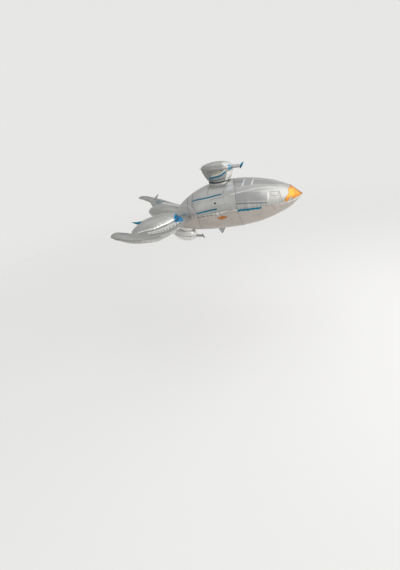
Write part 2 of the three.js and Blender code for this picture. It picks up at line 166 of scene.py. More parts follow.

# Printed marks, and some painted highlights, glints and shade among them. A row holds the ink, the surface
# or the layer that takes it and the kind of mark, then its paths and its sizes in metres. On the hull a
# place is a station and the degrees down from the top.
NOSE_EDGE = [(0.478, 30), (0.461, 50), (0.464, 64), (0.452, 73), (0.424, 95)]
AMBER_EDGE = [(-0.040, 105), (-0.026, 109), (-0.012, 112), (0.004, 109.5), (0.026, 107)]
PANEL_LINE = 0.0026
HULL_MARKS = [
    ("window", 0, "area", [(0.107, 8), (0.138, 9), (0.170, 11)], [(0.090, 29), (0.112, 37), (0.141, 37)]),
    ("window", 0, "area", [(0.183, 13), (0.227, 15)], [(0.159, 36), (0.208, 35)]),
    ("window", 0, "area", [(0.242, 15), (0.292, 15), (0.358, 16), (0.442, 15)],
     [(0.221, 33), (0.286, 32), (0.360, 30), (0.442, 17)]),
    ("window", 0, "area", [(0.101, 52), (0.196, 55), (0.309, 59)], [(0.098, 75), (0.189, 76), (0.303, 81)]),
    # Painted highlight: this lighter sheen band stands for the light falling on the upper flank beside the
    # rivets.
    ("sheen", 0, "area", [(0.048, 9), (0.044, 27), (0.040, 45)], [(0.097, 9), (0.092, 27), (0.086, 45)]),
    ("gold", 0, "area", NOSE_EDGE, [(0.483, 30), (0.483, 50), (0.483, 64), (0.482, 76), (0.450, 100)]),
    ("brown", 1, "line", NOSE_EDGE, 0.003),
    ("silver", 1, "area", [(0.462, 92), (0.486, 95), (0.517, 100), (0.545, 104)],
     [(0.452, 102), (0.486, 104.2), (0.517, 104.6), (0.545, 104.8)]),
    ("brown", 1, "area", [(0.552, 0), (0.560, 0), (0.5735, 0)], [(0.552, 104), (0.560, 104), (0.5735, 104)]),
    ("amber", 0, "area", AMBER_EDGE,
     [(-0.040, 103.5), (-0.022, 104), (-0.009, 101), (0.006, 103.5), (0.026, 104.5)]),
    ("brown", 1, "line", AMBER_EDGE, 0.0025),
    ("teal", 1, "line", [(-0.202, 41), (-0.100, 50), (0.005, 51)], 0.009),
    ("teal", 1, "line", [(-0.177, 83), (-0.105, 83), (-0.036, 83)], 0.010),
    ("light", 1, "line", [(0.177, 12), (0.151, 37)], 0.008),
    ("light", 1, "line", [(0.235, 13), (0.214, 35)], 0.008),
    ("light", 1, "line", [(0.062, 56), (0.166, 51), (0.236, 47), (0.306, 44), (0.376, 44)], 0.0065),
    ("light", 1, "line", [(0.315, 60), (0.314, 71), (0.309, 83)], 0.006),
    ("light", 1, "line", [(-0.297, 21), (-0.248, 41), (-0.182, 81)], 0.003),
    ("light", 1, "line", [(-0.196, 46), (-0.095, 54.5), (0.008, 55)], 0.0025),
    ("slate", 1, "line", [(0.098, 78), (0.188, 81), (0.302, 87)], 0.008),
    ("line", 2, "line", [(0.104, 0), (0.102, 40), (0.098, 60), (0.097, 82), (0.103, 100), (0.117, 120),
                         (0.131, 140), (0.142, 165)], PANEL_LINE),
    ("line", 2, "line", [(-0.194, 0), (-0.198, 32), (-0.203, 47), (-0.193, 71), (-0.178, 84),
                         (-0.170, 110), (-0.160, 150)], PANEL_LINE),
    ("line", 2, "line", [(-0.232, 0), (-0.236, 37), (-0.237, 62), (-0.232, 86)], PANEL_LINE),
    ("line", 2, "line", [(-0.052, 0), (-0.077, 23), (-0.088, 42)], PANEL_LINE),
    ("line", 2, "line", [(0.336, 95), (0.350, 107), (0.364, 120)], PANEL_LINE),
    ("line", 2, "line", [(0.394, 53), (0.402, 78), (0.414, 99)], PANEL_LINE),
    ("line", 2, "outline", [(0.336, 57), (0.389, 58), (0.386, 71), (0.333, 69)], 0.002),
    ("line", 2, "outline", [(-0.070, 58), (0.018, 58), (0.018, 76), (-0.070, 76)], 0.0014),
    ("sheen", 1, "outline", [(0.344, 60), (0.381, 61), (0.379, 68), (0.342, 66)], 0.0022),
    ("dark", 2, "disc", [(-0.044, 69)], 0.0075, 20),
    ("line", 2, "dotted", [(0.062, 10), (0.044, 25), (0.027, 41), (0.019, 49)], 0.0022, 0.011),
    ("cream", 2, "dotted", [(0.069, 11), (0.051, 26), (0.034, 42), (0.026, 50)], 0.0024, 0.011),
    # Painted glints: these two light patches at the seam stand for light catching the gathered film there.
    ("light", 1, "area", [(-0.075, 93), (-0.03, 91.5), (0.035, 91)],
     [(-0.070, 94), (-0.03, 97), (0.035, 91.6)]),
    ("light", 1, "area", [(0.058, 92.5), (0.096, 94)], [(0.080, 91), (0.100, 91)]),
    ("line", 1, "line", [(-0.195, 95), (-0.11, 96), (-0.02, 97)], 0.0016),
    ("light", 1, "line", [(-0.190, 92.5), (-0.11, 93), (0.0, 94)], 0.003),
]
NOSE_TOP = [("brown", 1, "area", [(0.484, -13), (0.52, -16), (0.552, -50)],
             [(0.484, 13), (0.52, 16), (0.552, 50)])]
# The wavy teal stripe that follows the seam: its stations, and the degrees of its edges below the seam
SEAM_STRIPE = {"from": 0.102, "to": 0.262, "above": 1.6, "below": 6.8}

# On the turrets and engines a place is the degrees round from the front, and the share of the way from
# the foot or the crown to the rim, or across the rim's strip.
DOME_FOLDS = {place: [("line", "dome", "line", [(215, share), (262, share), (318, share)],
                       0.0015 * spec["size"]) for share in (0.5, 0.75)] for place, spec in TURRETS.items()}
PORTS = [([(252, 0.77)], 0.007), ([(262, 0.81)], 0.0105), ([(273, 0.85)], 0.008)]
TURRET_MARKS = {
    "top": [
        *DOME_FOLDS["top"],
        ("azure", "bowl", "area", [(311, 0.9), (338, 0.9)], [(312, 0.985), (333, 0.985)]),
        ("azure", "dome", "area", [(312, 0.99), (333, 0.99)], [(316, 0.93), (329, 0.93)]),
        ("azure", "rim", "area", [(312, 0.1), (333, 0.1)], [(312, 1.02), (333, 1.02)]),
        ("teal", "bowl", "line", [(226, 0.49), (258, 0.59), (279, 0.66), (299, 0.82)], 0.010),
        ("light", "bowl", "line", [(240, 0.66), (272, 0.74), (298, 0.91)], 0.006),
        # Painted highlights: these light areas on the front of the bowl and dome stand for the window light
        # reflected there.
        ("light", "bowl", "area", [(300, 0.3), (322, 0.2), (350, 0.25)],
         [(306, 0.80), (325, 0.82), (350, 0.82)]),
        ("light", "dome", "area", [(296, 0.94), (322, 0.9), (350, 0.94)],
         [(290, 0.62), (320, 0.5), (350, 0.5)]),
        ("slate", "bowl", "line", [(222, 0.36), (262, 0.38), (300, 0.46)], 0.007),
        ("dark", "bowl", "line", [(222, 0.82), (250, 0.88), (290, 0.93)], 0.0025),
        ("dark", "dome over", "dotted", [(208, 0.85), (245, 0.84), (288, 0.87)], 0.0022, 0.013),
        ("shade", "dome", "area", [(202, 0.985), (250, 0.985), (300, 0.985)],
         [(206, 0.86), (250, 0.85), (296, 0.90)]),
        *(("cream", "bowl", "disc", spot, radius, 20) for spot, radius in PORTS),
        *(("dark", "bowl over", "disc", spot, radius / 2, 16) for spot, radius in PORTS),
    ],
    "belly": DOME_FOLDS["belly"],
}
BELLY_RIGHT_MARKS = [
    ("dark", "dome", "line", [(4, 0.985), (20, 0.93), (33, 0.77)], 0.006),
    ("slate", "bowl", "line", [(40, 0.97), (60, 0.97), (84, 0.97)], 0.003),
]
ENGINE_MARKS = [
    ("blue", "upper", "area", [(316, 0.998), (342, 0.998), (375, 0.998)],
     [(322, 0.94), (345, 0.89), (375, 0.9)]),
    ("blue", "rim", "area", [(317, 0.1), (358, 0.1)], [(317, 1.02), (358, 1.02)]),
    # Painted highlight: this pale streak just inside the upper rim stands for the light along the seam's
    # ridge.
    ("pale", "upper", "area", [(203, 0.998), (232, 0.998), (262, 1.0), (315, 1.0)],
     [(203, 0.985), (232, 0.955), (262, 0.970), (315, 0.982)]),
    ("light", "lower", "line", [(238, 0.955), (275, 0.95), (325, 0.95)], 0.004),
    ("line", "lower", "line", [(240, 0.88), (275, 0.87), (320, 0.88)], 0.002),
]

# On the wings a place is the share of the way from root to tip, and degrees from the outer edge over.
WING_MARKS = [
    ("blue", 1, "area", [(0.078, 84), (0.062, 68), (0.047, 53)], [(0.058, 144), (0.03, 142), (0.004, 140)]),
    # Painted shade: this dark line stands for the shade in the crease across each wing's upper half.
    ("line", 1, "line", [(0.63, 8), (0.47, 24), (0.33, 36), (0.24, 40)], 0.003),
    ("line", 1, "line", [(0.31, 72), (0.22, 62), (0.13, 50)], 0.0018),
    # This light backing under the printed fittings is partly print and partly a painted highlight for the
    # glints among them.
    ("light", 0, "area", [(0.075, 100), (0.18, 104), (0.295, 104)], [(0.065, 58), (0.17, 63), (0.295, 80)]),
    ("light", 1, "line", [(0.235, 44), (0.214, 36), (0.150, 22), (0.099, 10)], 0.0035),
    ("teal", 1, "line", [(0.59, 98), (0.55, 107), (0.505, 114)], 0.006),
    ("dark", 2, "disc", [(0.682, 134)], 0.0045, 16),
]
LEFT_WING_MARKS = [
    ("teal", 1, "line", [(0.328, 127), (0.35, 105), (0.381, 78)], 0.010),
    ("teal", 1, "line", [(0.303, 122), (0.315, 95), (0.335, 59)], 0.012),
]

# Small printed fittings in rows: seed, how many, their inks in turn, least and most length and height
HULL_FITTINGS = (29, 22, ("dark", "line", "light"), (0.005, 0.011), (0.0028, 0.0042))
ENGINE_FITTINGS = (43, 22, ("dark", "line", "light"), (0.007, 0.013), (0.003, 0.0045))
WING_FITTINGS = (61, 21, ("dark", "line", "dark", "slate"), (0.0095, 0.0135), (0.0055, 0.008))
# Where these rows start and their pitch, and the places across them
HULL_ROW = {"start": -0.2, "pitch": 0.0096, "turn": 94.6, "step": 2.3}
ENGINE_ROW = {"start": 238, "pitch": 4, "share": (0.895, 0.925)}
WING_ROW = {"start": 0.075, "pitch": 0.0104, "along": (0.05, 0.15, 0.32), "turn": (58, 76, 84),
            "beside": (-7, 5)}

# Camera and light
EYE = (0.0052, -2.4683, 0.6751)
SIGHT_RIGHT = (0.9888, 0.0251, -0.1473)
SIGHT_UP = (0.1219, 0.4351, 0.8921)
LENS = 22.1
SHIFT_Y = -15 / 570
FLOOR_Z = -1.0
FLOOR_RADIUS = 9
FLOOR_FADE = (1.2, 5)
FLOOR_COLOUR = (0.86, 0.855, 0.845, 1)
FLOOR_ROUGHNESS = 0.8
ROOM = {"below": (0.55, 0.50, 0.46, 1), "level": (0.72, 0.71, 0.69, 1), "above": (0.80, 0.81, 0.82, 1),
        "seen": (0.80, 0.80, 0.79, 1)}
# The room grows brighter ahead of the nose, between these two levels, by this factor
ROOM_AHEAD = (0.1, 0.9)
ROOM_GAIN = 2

# Large soft lights: the setting of their power, place, what each looks at, size and colour
LIGHTS = {
    "window_light": ("key", (2.6, -0.9, 1.1), (0.2, 0, 0), (2.8, 2.8), (1, 0.985, 0.96)),
    "fill_light": ("fill", (-1.2, -2.8, 1.6), (0, 0, 0), (2.6, 2.2), (0.95, 0.98, 1)),
    "top_light": ("top", (-0.2, 0.6, 2.6), (0, 0, 0), (3.0, 2.4), (1, 1, 1)),
}


# Curves and surfaces


def compass(degrees):
    """Cosine and sine of an angle."""
    return np.cos(np.radians(degrees)), np.sin(np.radians(degrees))


def arrays(*values):
    """The values as arrays of numbers in one shape."""
    return np.broadcast_arrays(*(np.asarray(value, float) for value in values))


def places(*parts):
    """Places or directions put together from their parts."""
    return np.stack(np.broadcast_arrays(*parts), -1)


def unit(ways):
    """Directions made one long."""
    return ways / np.maximum(np.linalg.norm(ways, axis=-1, keepdims=True), 1e-9)


def closed(u):
    """Goes from 0 to 1 with the end exactly where the start is."""
    return np.where(u > 1 - 1e-6, 0, u)


def swollen(points, out):
    """Points moved away from the origin."""
    size = np.linalg.norm(points, axis=-1, keepdims=True)
    return points * (1 + out[..., None] / np.maximum(size, 0.01))


def placed(points, matrix):
    """The points moved by a 4 x 4 matrix."""
    m = np.array(matrix)
    return points @ m[:3, :3].T + m[:3, 3]


def catmull_rom(points, t):
    """Points of a smooth curve through the given ones, t from 0 at the first to 1 at the last."""
    points = np.asarray(points, float)
    t = np.clip(np.asarray(t, float), 0, 1) * (len(points) - 1)
    first = np.minimum(np.floor(t).astype(int), len(points) - 2)
    w = (t - first)[..., None]
    padded = np.vstack([2 * points[0] - points[1], points, 2 * points[-1] - points[-2]])
    before, start, end, after = (padded[first + k] for k in range(4))
    out, into = (end - before) / 2, (after - start) / 2
    return (start + out * w + (3 * (end - start) - 2 * out - into) * w**2
            + (2 * (start - end) + out + into) * w**3)


def gathers(seed, run, away, span, sizes):
    """How deep a seam's gathers draw the film in, at a place along the seam and a distance from it.
    span is where the seam starts and ends, and each size is a pitch, a depth and a reach."""
    start, end = span
    run, away = np.asarray(run)[..., None], np.asarray(away)[..., None]
    drawn = 0
    for step, (pitch, depth, reach) in enumerate(sizes):
        rng = np.random.default_rng(seed + step)
        count = max(int((end - start) / pitch), 1)
        at = start + (np.arange(count) + rng.uniform(0.1, 0.9, count)) * (end - start) / count
        width = pitch * rng.uniform(0.45, 0.95, count)
        strength = depth * rng.uniform(0.25, 1, count)
        length = reach * rng.uniform(0.35, 1.2, count)
        slant = rng.normal(0, 0.2, count)
        off = np.abs(run - at - slant * away) / (width * (0.55 + away / reach))
        valley = np.clip(1 - off, 0, 1) ** 1.4
        drawn = drawn + (strength * valley * np.exp(-((away / length) ** 1.2))).sum(-1)
    return drawn


def hull_radius(x):
    t = np.clip((x - WAIST_X) / (NOSE_X - WAIST_X), 0, 1)
    body = HULL_RADIUS * (1 - t**NOSE_FULLNESS) ** NOSE_SHARPNESS
    fore = np.minimum(body, (NOSE_X - x) * NOSE_SLOPE)
    s = np.clip((WAIST_X - x) / (WAIST_X - TAIL_X), 0, 1)
    aft = HULL_RADIUS * (1 - s**2) ** TAIL_SHARPNESS
    return np.maximum(np.where(x > WAIST_X, fore, aft), 0)


def hull_axis(x):
    return -TAIL_DROP * np.clip((WAIST_X - x) / (WAIST_X - TAIL_X), 0, 1) ** 2


def seam_turn(x):
    """Degrees from the top of the hull down to its side seams."""
    off = x - SEAM_LEVEL_X
    fore = SEAM_SINK["fore"] * (off / SEAM_REACH["fore"]) ** 2
    aft = SEAM_SINK["aft"] * (off / SEAM_REACH["aft"]) ** 2
    return 90 + np.minimum(np.where(off > 0, fore, aft), SEAM_SINK_MOST)


def hull_surface(x, turn, lift=0.0):
    """Point of the hull at a station, turn degrees from the top: right side positive, left negative."""
    x, turn = arrays(x, turn)
    radius, side = hull_radius(x), seam_turn(x)
    keel_away = radius * np.radians(180 - np.abs(turn))
    drawn = gathers(SEEDS["keel_gathers"], x, keel_away, (TAIL_X, NOSE_X), KEEL_GATHERS)
    for seed, seam in (("right_gathers", side), ("left_gathers", -side)):
        away = radius * np.radians(np.abs(turn - seam))
        drawn = drawn + gathers(SEEDS[seed], x, away, (TAIL_X, NOSE_X), SIDE_GATHERS)
    angle = np.radians(turn)
    wave = WAVE * np.sin(x * 47 + 2.1 * np.sin(angle * 2)) * np.cos(angle * 3 + x * 9)
    out = radius + (wave - drawn) * np.clip(radius / HULL_GATHERS_FADE, 0, 1) + lift
    cosine, sine = compass(turn)
    return places(x, -out * sine, hull_axis(x) + out * cosine)


def rim_edge(shape, angle):
    """The egg or teardrop outline of a pillow, angle in degrees from its front."""
    along, across = compass(angle)
    reach = np.where(along > 0, shape["front"], shape["back"])
    point = np.where(along > 0, shape.get("front_point", 0), shape.get("back_point", 0))
    width = shape["half_width"] * np.sign(across) * np.abs(across) ** (1 + point * np.abs(along))
    return places(reach * along, width)


def rim_run(shape, angle):
    """Length along the outline from its front to the angle, and the whole length."""
    steps = np.linspace(0, 360, 721)
    edge = rim_edge(shape, steps)
    run = np.concatenate([[0], np.cumsum(np.linalg.norm(np.diff(edge, axis=0), axis=1))])
    return np.interp(np.mod(angle, 360.0001), steps, run), run[-1]


def rim_gathers(rim, seed, sizes, angle, away):
    run, whole = rim_run(rim, angle)
    return gathers(seed, run, away, (0, whole), sizes)


def cap_surface(rim, height, matrix, seed, sizes):
    """Surface of one half of a pillow: angle round it from its front, reach from 0 at the crown to 1 at
    the rim."""

    def surface(angle, reach, lift=0.0):
        angle, reach = arrays(angle, reach)
        high = np.sqrt(np.clip(1 - reach**2, 0, 1))
        away = rim["half_width"] * (1 - reach) + abs(height) * high * 0.5
        drawn = rim_gathers(rim, seed, sizes, angle, away)
        flat = rim_edge(rim, angle) * reach[..., None]
        points = np.concatenate([flat, (height * high)[..., None]], -1)
        return placed(swollen(points, lift - drawn), matrix)

    return surface


def engine_matrix(word):
    seat = ENGINES[word]
    turn = Euler((0, -math.radians(seat["pitch"]), -math.radians(seat["sweep"])), "XYZ")
    return Matrix.Translation(seat["centre"]) @ turn.to_matrix().to_4x4()


def engine_surface(word, up):
    """Surface of an engine pillow's upper half, up 1, or its lower half, up -1."""
    height = up * ENGINE["half_height"]
    return cap_surface(ENGINE, height, engine_matrix(word), ENGINES[word]["seed"], ENGINE_GATHERS[up])


def wing_frame(along):
    """Middle, outward and upward directions, and half sizes of the left wing's section."""
    clipped = np.minimum(along, 0.99)
    forward = unit(catmull_rom(WING[:, :3], clipped + 1e-4) - catmull_rom(WING[:, :3], clipped - 1e-4))
    level = unit(places(forward[..., 1], -forward[..., 0], 0.0))
    upright = np.cross(level, forward)
    cosine, sine = compass(WING_TILT)
    across = level * cosine + np.cross(forward, level) * sine
    upward = upright * cosine + np.cross(forward, upright) * sine
    middle, half = catmull_rom(WING[:, :3], along), catmull_rom(WING[:, 3:], along)
    return middle, across, upward, np.maximum(half, 0)


def wing_surface(word, up):
    """Surface of one half of a wing: along from 0 at the root to 1 at the tip, angle in degrees over
    the section from the outer edge to the inner one."""
    side, seed = WINGS[word]["side"], WINGS[word]["seed"]

    def surface(along, angle, lift=0.0):
        along, angle = arrays(along, angle)
        spine, across, upward, half = wing_frame(along)
        wide, high = half[..., 0], half[..., 1]
        cosine, sine = compass(angle)
        away = wide * (1 - np.abs(cosine)) + high * sine * 0.4
        outer, inner = (gathers(seed + edge, along * WING_LENGTH, away, (0, WING_LENGTH), WING_GATHERS)
                        for edge in (0, 5))
        out = lift - np.where(cosine > 0, outer, inner) * np.clip(wide / WING_GATHERS_FADE, 0, 1)
        points = (spine + across * ((wide + out * (wide > 0)) * cosine)[..., None]
                  + upward * (up * (high + out * 0.7 * (high > 0)) * sine)[..., None])
        clear = ENGINE_CLEAR[up] + lift * CLEAR_BY_LIFT
        return clear_of_engine(points * np.array([1, side, 1]), word, clear)

    return surface


def clear_of_engine(points, word, clear):
    """Points inside an engine pillow moved out to its surface, where the two are pressed together."""
    matrix = engine_matrix(word)
    local = placed(points, matrix.inverted())
    reach = np.where(local[..., 0] > 0, ENGINE["front"], ENGINE["back"])
    angle = np.degrees(np.arctan2(local[..., 1] / ENGINE["half_width"], local[..., 0] / reach))
    edge = np.linalg.norm(rim_edge(ENGINE, angle), axis=-1)
    flat = np.linalg.norm(local[..., :2], axis=-1)
    inside = (flat / np.maximum(edge, 1e-6)) ** 2 + (local[..., 2] / ENGINE["half_height"]) ** 2
    scale = np.where(inside < clear**2, clear / np.sqrt(np.maximum(inside, 1e-4)), 1)
    return placed(local * np.minimum(scale, 3)[..., None], matrix)


def turret_matrix(place):
    spec = TURRETS[place]
    rise = spec["side"] * (float(hull_radius(spec["x"])) + spec["seat"])
    spot = Matrix.Translation((spec["x"], 0, float(hull_axis(spec["x"])) + rise))
    over = Matrix.Rotation(math.pi if spec["side"] < 0 else 0, 4, "X")
    return spot @ over @ Matrix.Rotation(math.radians(spec["pitch"]), 4, "Y")


def turret_rim(place):
    """The turret's teardrop outline at its own size."""
    size = TURRETS[place]["size"]
    return {key: value * (1 if key == "back_point" else size) for key, value in TURRET.items()}


def bowl_surface(place):
    """Wall of a turret's bowl: angle round it from the front, rise from 0 at the foot to 1 at the rim."""
    spec, rim, matrix = TURRETS[place], turret_rim(place), turret_matrix(place)

    def surface(angle, rise, lift=0.0):
        angle, rise = arrays(angle, rise)
        turn = rise * math.pi / 2
        cosine, sine = compass(angle)
        straight = BOWL_STRAIGHT * (1 - cosine)
        share = ((1 - straight) * np.sin(turn) + straight * (1 - np.cos(turn)))[..., None]
        flat = places(cosine, sine) * rim["foot"] * (1 - share) + rim_edge(rim, angle) * share
        away = (1 - rise) * spec["bowl"] * 1.3
        drawn = rim_gathers(rim, spec["seed"], TURRET_GATHERS, angle, away) * np.clip(rise * 3, 0, 1)
        high = spec["bowl"] * (1 - np.cos(turn))
        return placed(np.concatenate([swollen(flat, lift - drawn), high[..., None]], -1), matrix)

    return surface


def dome_surface(place):
    """A turret's dome: angle round it from the front, reach from 0 at the crown to 1 at the rim."""
    spec = TURRETS[place]
    matrix = turret_matrix(place) @ Matrix.Translation((0, 0, spec["bowl"]))
    return cap_surface(turret_rim(place), spec["dome"], matrix, spec["seed"], TURRET_GATHERS)


def tail_radius(x):
    t = np.clip((x - TAIL["widest"]) / (TAIL["front"] - TAIL["widest"]), 0, 1)
    s = np.clip((TAIL["widest"] - x) / (TAIL["widest"] - TAIL["tip"]), 0, 1)
    fore = TAIL["radius"] + (TAIL["front_radius"] - TAIL["radius"]) * t**2
    aft = TAIL["radius"] + (TAIL["end_radius"] - TAIL["radius"]) * s**1.5
    return np.where(x > TAIL["widest"], fore, aft)


def tail_surface(x, angle):
    """Point of the tail pod at a station, angle in degrees round it from its left side over the top."""
    x, angle = arrays(x, angle)
    cosine, sine = compass(angle)
    radius = tail_radius(x)
    away = radius * np.arcsin(np.clip(np.abs(sine), 0, 1))
    drawn = gathers(SEEDS["tail_gathers"], x, away, (TAIL["tip"], TAIL["front"]), TAIL_GATHERS)
    out = radius - drawn
    return places(x, out * cosine, TAIL["z"] + out * sine)


# Sheets of film


def deselect():
    bpy.ops.object.select_all(action="DESELECT")


def only(piece):
    deselect()
    piece.select_set(True)
    bpy.context.view_layer.objects.active = piece


def edit_all(piece, operator, **settings):
    """Runs one operator of edit mode on the whole of a piece."""
    only(piece)
    bpy.ops.object.mode_set(mode="EDIT")
    bpy.ops.mesh.select_all(action="SELECT")
    operator(**settings)
    bpy.ops.object.mode_set(mode="OBJECT")


def shape_film(film, place):
    """Lays a flat sheet on a surface: place(u, v) gives the point for each corner, from 0 to 1."""
    corners = np.empty(len(film.data.vertices) * 3, np.float32)
    film.data.vertices.foreach_get("co", corners)
    u, v = corners.reshape(-1, 3).astype(float)[:, :2].T + 0.5
    film.data.vertices.foreach_set("co", place(u, v).astype(np.float32).ravel())
    film.data.update()


def close_film(film, inside):
    """Welds the edges that meet and turns the faces away from a point inside."""
    edit_all(film, bpy.ops.mesh.remove_doubles, threshold=WELD)
    faces = film.data.polygons
    centres, normals = np.empty((2, len(faces) * 3))
    faces.foreach_get("center", centres)
    faces.foreach_get("normal", normals)
    outward = (centres.reshape(-1, 3) - np.asarray(inside)) * normals.reshape(-1, 3)
    if outward.sum() < 0:
        edit_all(film, bpy.ops.mesh.flip_normals)


def laid_film(name, cells, place, inside=None, thickness=FILM, offset=-1):
    """A sheet of film cut into cells, laid on a surface, closed round a point inside and made thick."""
    deselect()
    bpy.ops.mesh.primitive_grid_add(x_subdivisions=cells[0], y_subdivisions=cells[1], size=1)
    film = bpy.context.object
    film.name = film.data.name = name
    shape_film(film, place)
    if inside is not None:
        close_film(film, inside)
    if thickness:
        only(film)
        solid = film.modifiers.new("Film", "SOLIDIFY")
        solid.thickness = thickness
        solid.offset = offset
        bpy.ops.object.modifier_apply(modifier=solid.name)
    return film


def settle(piece, ink, slot, *nodes):
    """Gives a finished piece its material and its place in the part."""
    only(piece)
    bpy.ops.object.shade_smooth()
    piece.data.materials.clear()
    piece.data.materials.append(film_material(ink))
    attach(piece, "root")
    if nodes:
        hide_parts(*nodes)


def crowded(v):
    """Evenly spread places drawn closer together towards both ends."""
    return 0.5 * v + 0.25 * (1 - np.cos(math.pi * v))


def seam_surface(edge, outward, cells, width, seed, loop=False):
    """Surface of a sealed strip that stands out from an edge: along it and across it from 0 to 1.
    edge(u) and outward(u) give places and directions. The strip sways every third cell."""
    knots = np.random.default_rng(seed).normal(0, 1, cells[0] // 3 + 3)

    def surface(u, v, lift=0.0):
        u, v = arrays(u, v)
        if loop:
            u = closed(u)
        out = outward(u)
        side = unit(np.cross(out, edge(np.clip(u + 1e-3, 0, 1)) - edge(np.clip(u - 1e-3, 0, 1))))
        calm = np.clip(np.minimum(u, 1 - u) * 30, 0, 1) if loop else 1
        sway = np.interp(u * (len(knots) - 1), np.arange(len(knots)), knots) * width * SEAM_SWAY * v * calm
        return edge(u) + out * (v * width - SEAM_TUCK)[:, None] + side * (sway + lift)[:, None]

    return surface


# Prints on the film


class Printable:
    """A surface that takes prints. spans are the steps in which its two coordinates are measured, and
    layer counts the inks below. Each kind of mark gives a list of sheets of ink."""

    def __init__(self, point, spans, layer=0):
        self.point = point
        self.spans = spans
        self.lift = PRINT_LIFT * (1 + 0.4 * layer)

    def stretch(self, a, b):
        """How far a place moves for a unit of each coordinate."""
        span_a, span_b = self.spans
        by_a = (self.point(a + span_a, b) - self.point(a - span_a, b)) / (2 * span_a)
        by_b = (self.point(a, b + span_b) - self.point(a, b - span_b)) / (2 * span_b)
        return by_a, by_b

    def beside(self, spot, ahead, aside):
        """Coordinates of the places that lie ahead and aside of a spot by so many metres."""
        a, b, ahead, aside = arrays(*spot, ahead, aside)
        by_a, by_b = self.stretch(a, b)
        first = unit(by_a)
        skew = (by_b * first).sum(-1)
        move_b = aside / np.linalg.norm(by_b - skew[..., None] * first, axis=-1)
        move_a = (ahead - skew * move_b) / np.linalg.norm(by_a, axis=-1)
        return a + move_a, b + move_b

    def length(self, path):
        points = self.point(path[:, 0], path[:, 1])
        return float(np.linalg.norm(np.diff(points, axis=0), axis=1).sum())

    def steps(self, path, pitch, least):
        """A smooth path in even steps."""
        count = max(int(self.length(catmull_rom(path, np.linspace(0, 1, 40))) / pitch), least)
        return catmull_rom(path, np.linspace(0, 1, count + 1))

    def lay(self, cells, where):
        """A sheet of ink on the surface, where(u, v) giving its coordinates, its face turned outwards."""
        u, v = np.array([0.5, 0.501, 0.5]), np.array([0.5, 0.5, 0.501])
        low, high = self.point(*where(u, v)), self.point(*where(u, v), 0.001)
        outward = np.cross(low[1] - low[0], low[2] - low[0]) @ (high[0] - low[0]) > 0

        def place(u, v):
            return self.point(*where(u if outward else 1 - u, v), self.lift)

        return [laid_film("ink", cells, place, thickness=0)]

    def area(self, lower, upper):
        """A printed area between two smooth edges, each a list of places."""
        lower, upper = np.asarray(lower, float), np.asarray(upper, float)
        along = max(self.length(lower), self.length(upper))
        across = max(self.length(np.stack([lower[i], upper[j]]))
                     for i, j in ((0, 0), (len(lower) // 2, len(upper) // 2), (-1, -1)))
        cells = [min(max(math.ceil(size / CELL), 1), 300) for size in (along, across)]
        return self.lay(cells, lambda u, v: (catmull_rom(lower, u) * (1 - v)[:, None]
                                             + catmull_rom(upper, u) * v[:, None]).T)

    def line(self, path, width):
        """A printed line of that width along a smooth path."""
        fine = self.steps(path, CELL, 2)
        a, b = fine[:, 0], fine[:, 1]
        by_a, by_b = (np.linalg.norm(way, axis=-1) for way in self.stretch(a, b))
        go_a, go_b = np.gradient(a) * by_a, np.gradient(b) * by_b
        half = width / 2 / np.maximum(np.hypot(go_a, go_b), 1e-9)
        shift = places(-go_b * half / by_a, go_a * half / by_b)
        return self.area(fine + shift, fine - shift)

    def outline(self, corners, width):
        """Printed lines round an area."""
        return [film for ends in zip(corners, corners[1:] + corners[:1]) for film in self.line(ends, width)]

    def disc(self, path, radius, cells):
        """A printed round spot at the first place of a path."""

        def where(u, v):
            turn, reach = u * 2 * math.pi, radius * v
            return self.beside(path[0], reach * np.cos(turn), reach * np.sin(turn))

        return self.lay((cells, 2), where)

    def panel(self, spot, length, height):
        """A printed rectangle centred on a place, its sides in metres."""
        ahead = np.array([-0.5, 0, 0.5]) * length
        return self.area(*(places(*self.beside(spot, ahead, half * height)) for half in (-0.5, 0.5)))

    def dotted(self, path, radius, pitch):
        """A row of printed spots along a smooth path."""
        return [film for spot in self.steps(path, pitch, 1) for film in self.disc([spot], radius, 8)]


def layered(point, spans):
    """The surface for each of the layers of ink that lie on one another."""
    return [[Printable(point, spans, layer)] for layer in range(4)]


def both_faces(surface):
    """The two faces of a rim's strip, to carry a patch over the seam. Places are degrees and shares."""
    return [Printable(lambda a, b, lift=0.0, face=face: surface(a / 360, b, face * lift), (0.7, 0.1))
            for face in (1, -1)]


class InkSet:
    """Sheets of ink on one chamber, kept by ink until each ink is made one piece."""

    def __init__(self, chamber, *inks):
        self.chamber = chamber
        self.films = {ink: [] for ink in inks}

    def add(self, ink, films):
        self.films.setdefault(ink, []).extend(films)

    def marks(self, sheets, rows, at):
        """Prints rows of marks, at(path) putting a path on the chamber."""
        for ink, sheet, kind, *shape in rows:
            shape = [at(part) if isinstance(part, list) else part for part in shape]
            for face in sheets[sheet]:
                self.add(ink, getattr(face, kind)(*shape))

    def fittings(self, sheet, row, spot):
        """Prints small fittings, spot(k, rng) giving the place of each."""
        seed, count, inks, length, height = row
        rng = np.random.default_rng(seed)
        for k in range(count):
            place = spot(k, rng)
            self.add(inks[k % len(inks)], sheet.panel(place, rng.uniform(*length), rng.uniform(*height)))

    def finish(self):
        """Joins and welds the sheets of each ink."""
        for ink, films in self.films.items():
            print_piece(films, f"{self.chamber}_print_{ink}", ink, "foil_silver")


def print_piece(films, name, ink, slot):
    """Sheets of one ink made into one finished piece."""
    deselect()
    for film in films:
        film.select_set(True)
    bpy.context.view_layer.objects.active = films[0]
    if len(films) > 1:
        bpy.ops.object.join()
    films[0].name = films[0].data.name = name
    edit_all(films[0], bpy.ops.mesh.remove_doubles, threshold=WELD)
    settle(films[0], ink, slot)


# Materials

# Scales of the film's grain and folds, depth of its bumps and roughness of its coat
GRAIN_SCALE = 260
FOLD_SCALE = 9
BUMP_DEPTH = 0.004
COAT_ROUGHNESS = 0.12


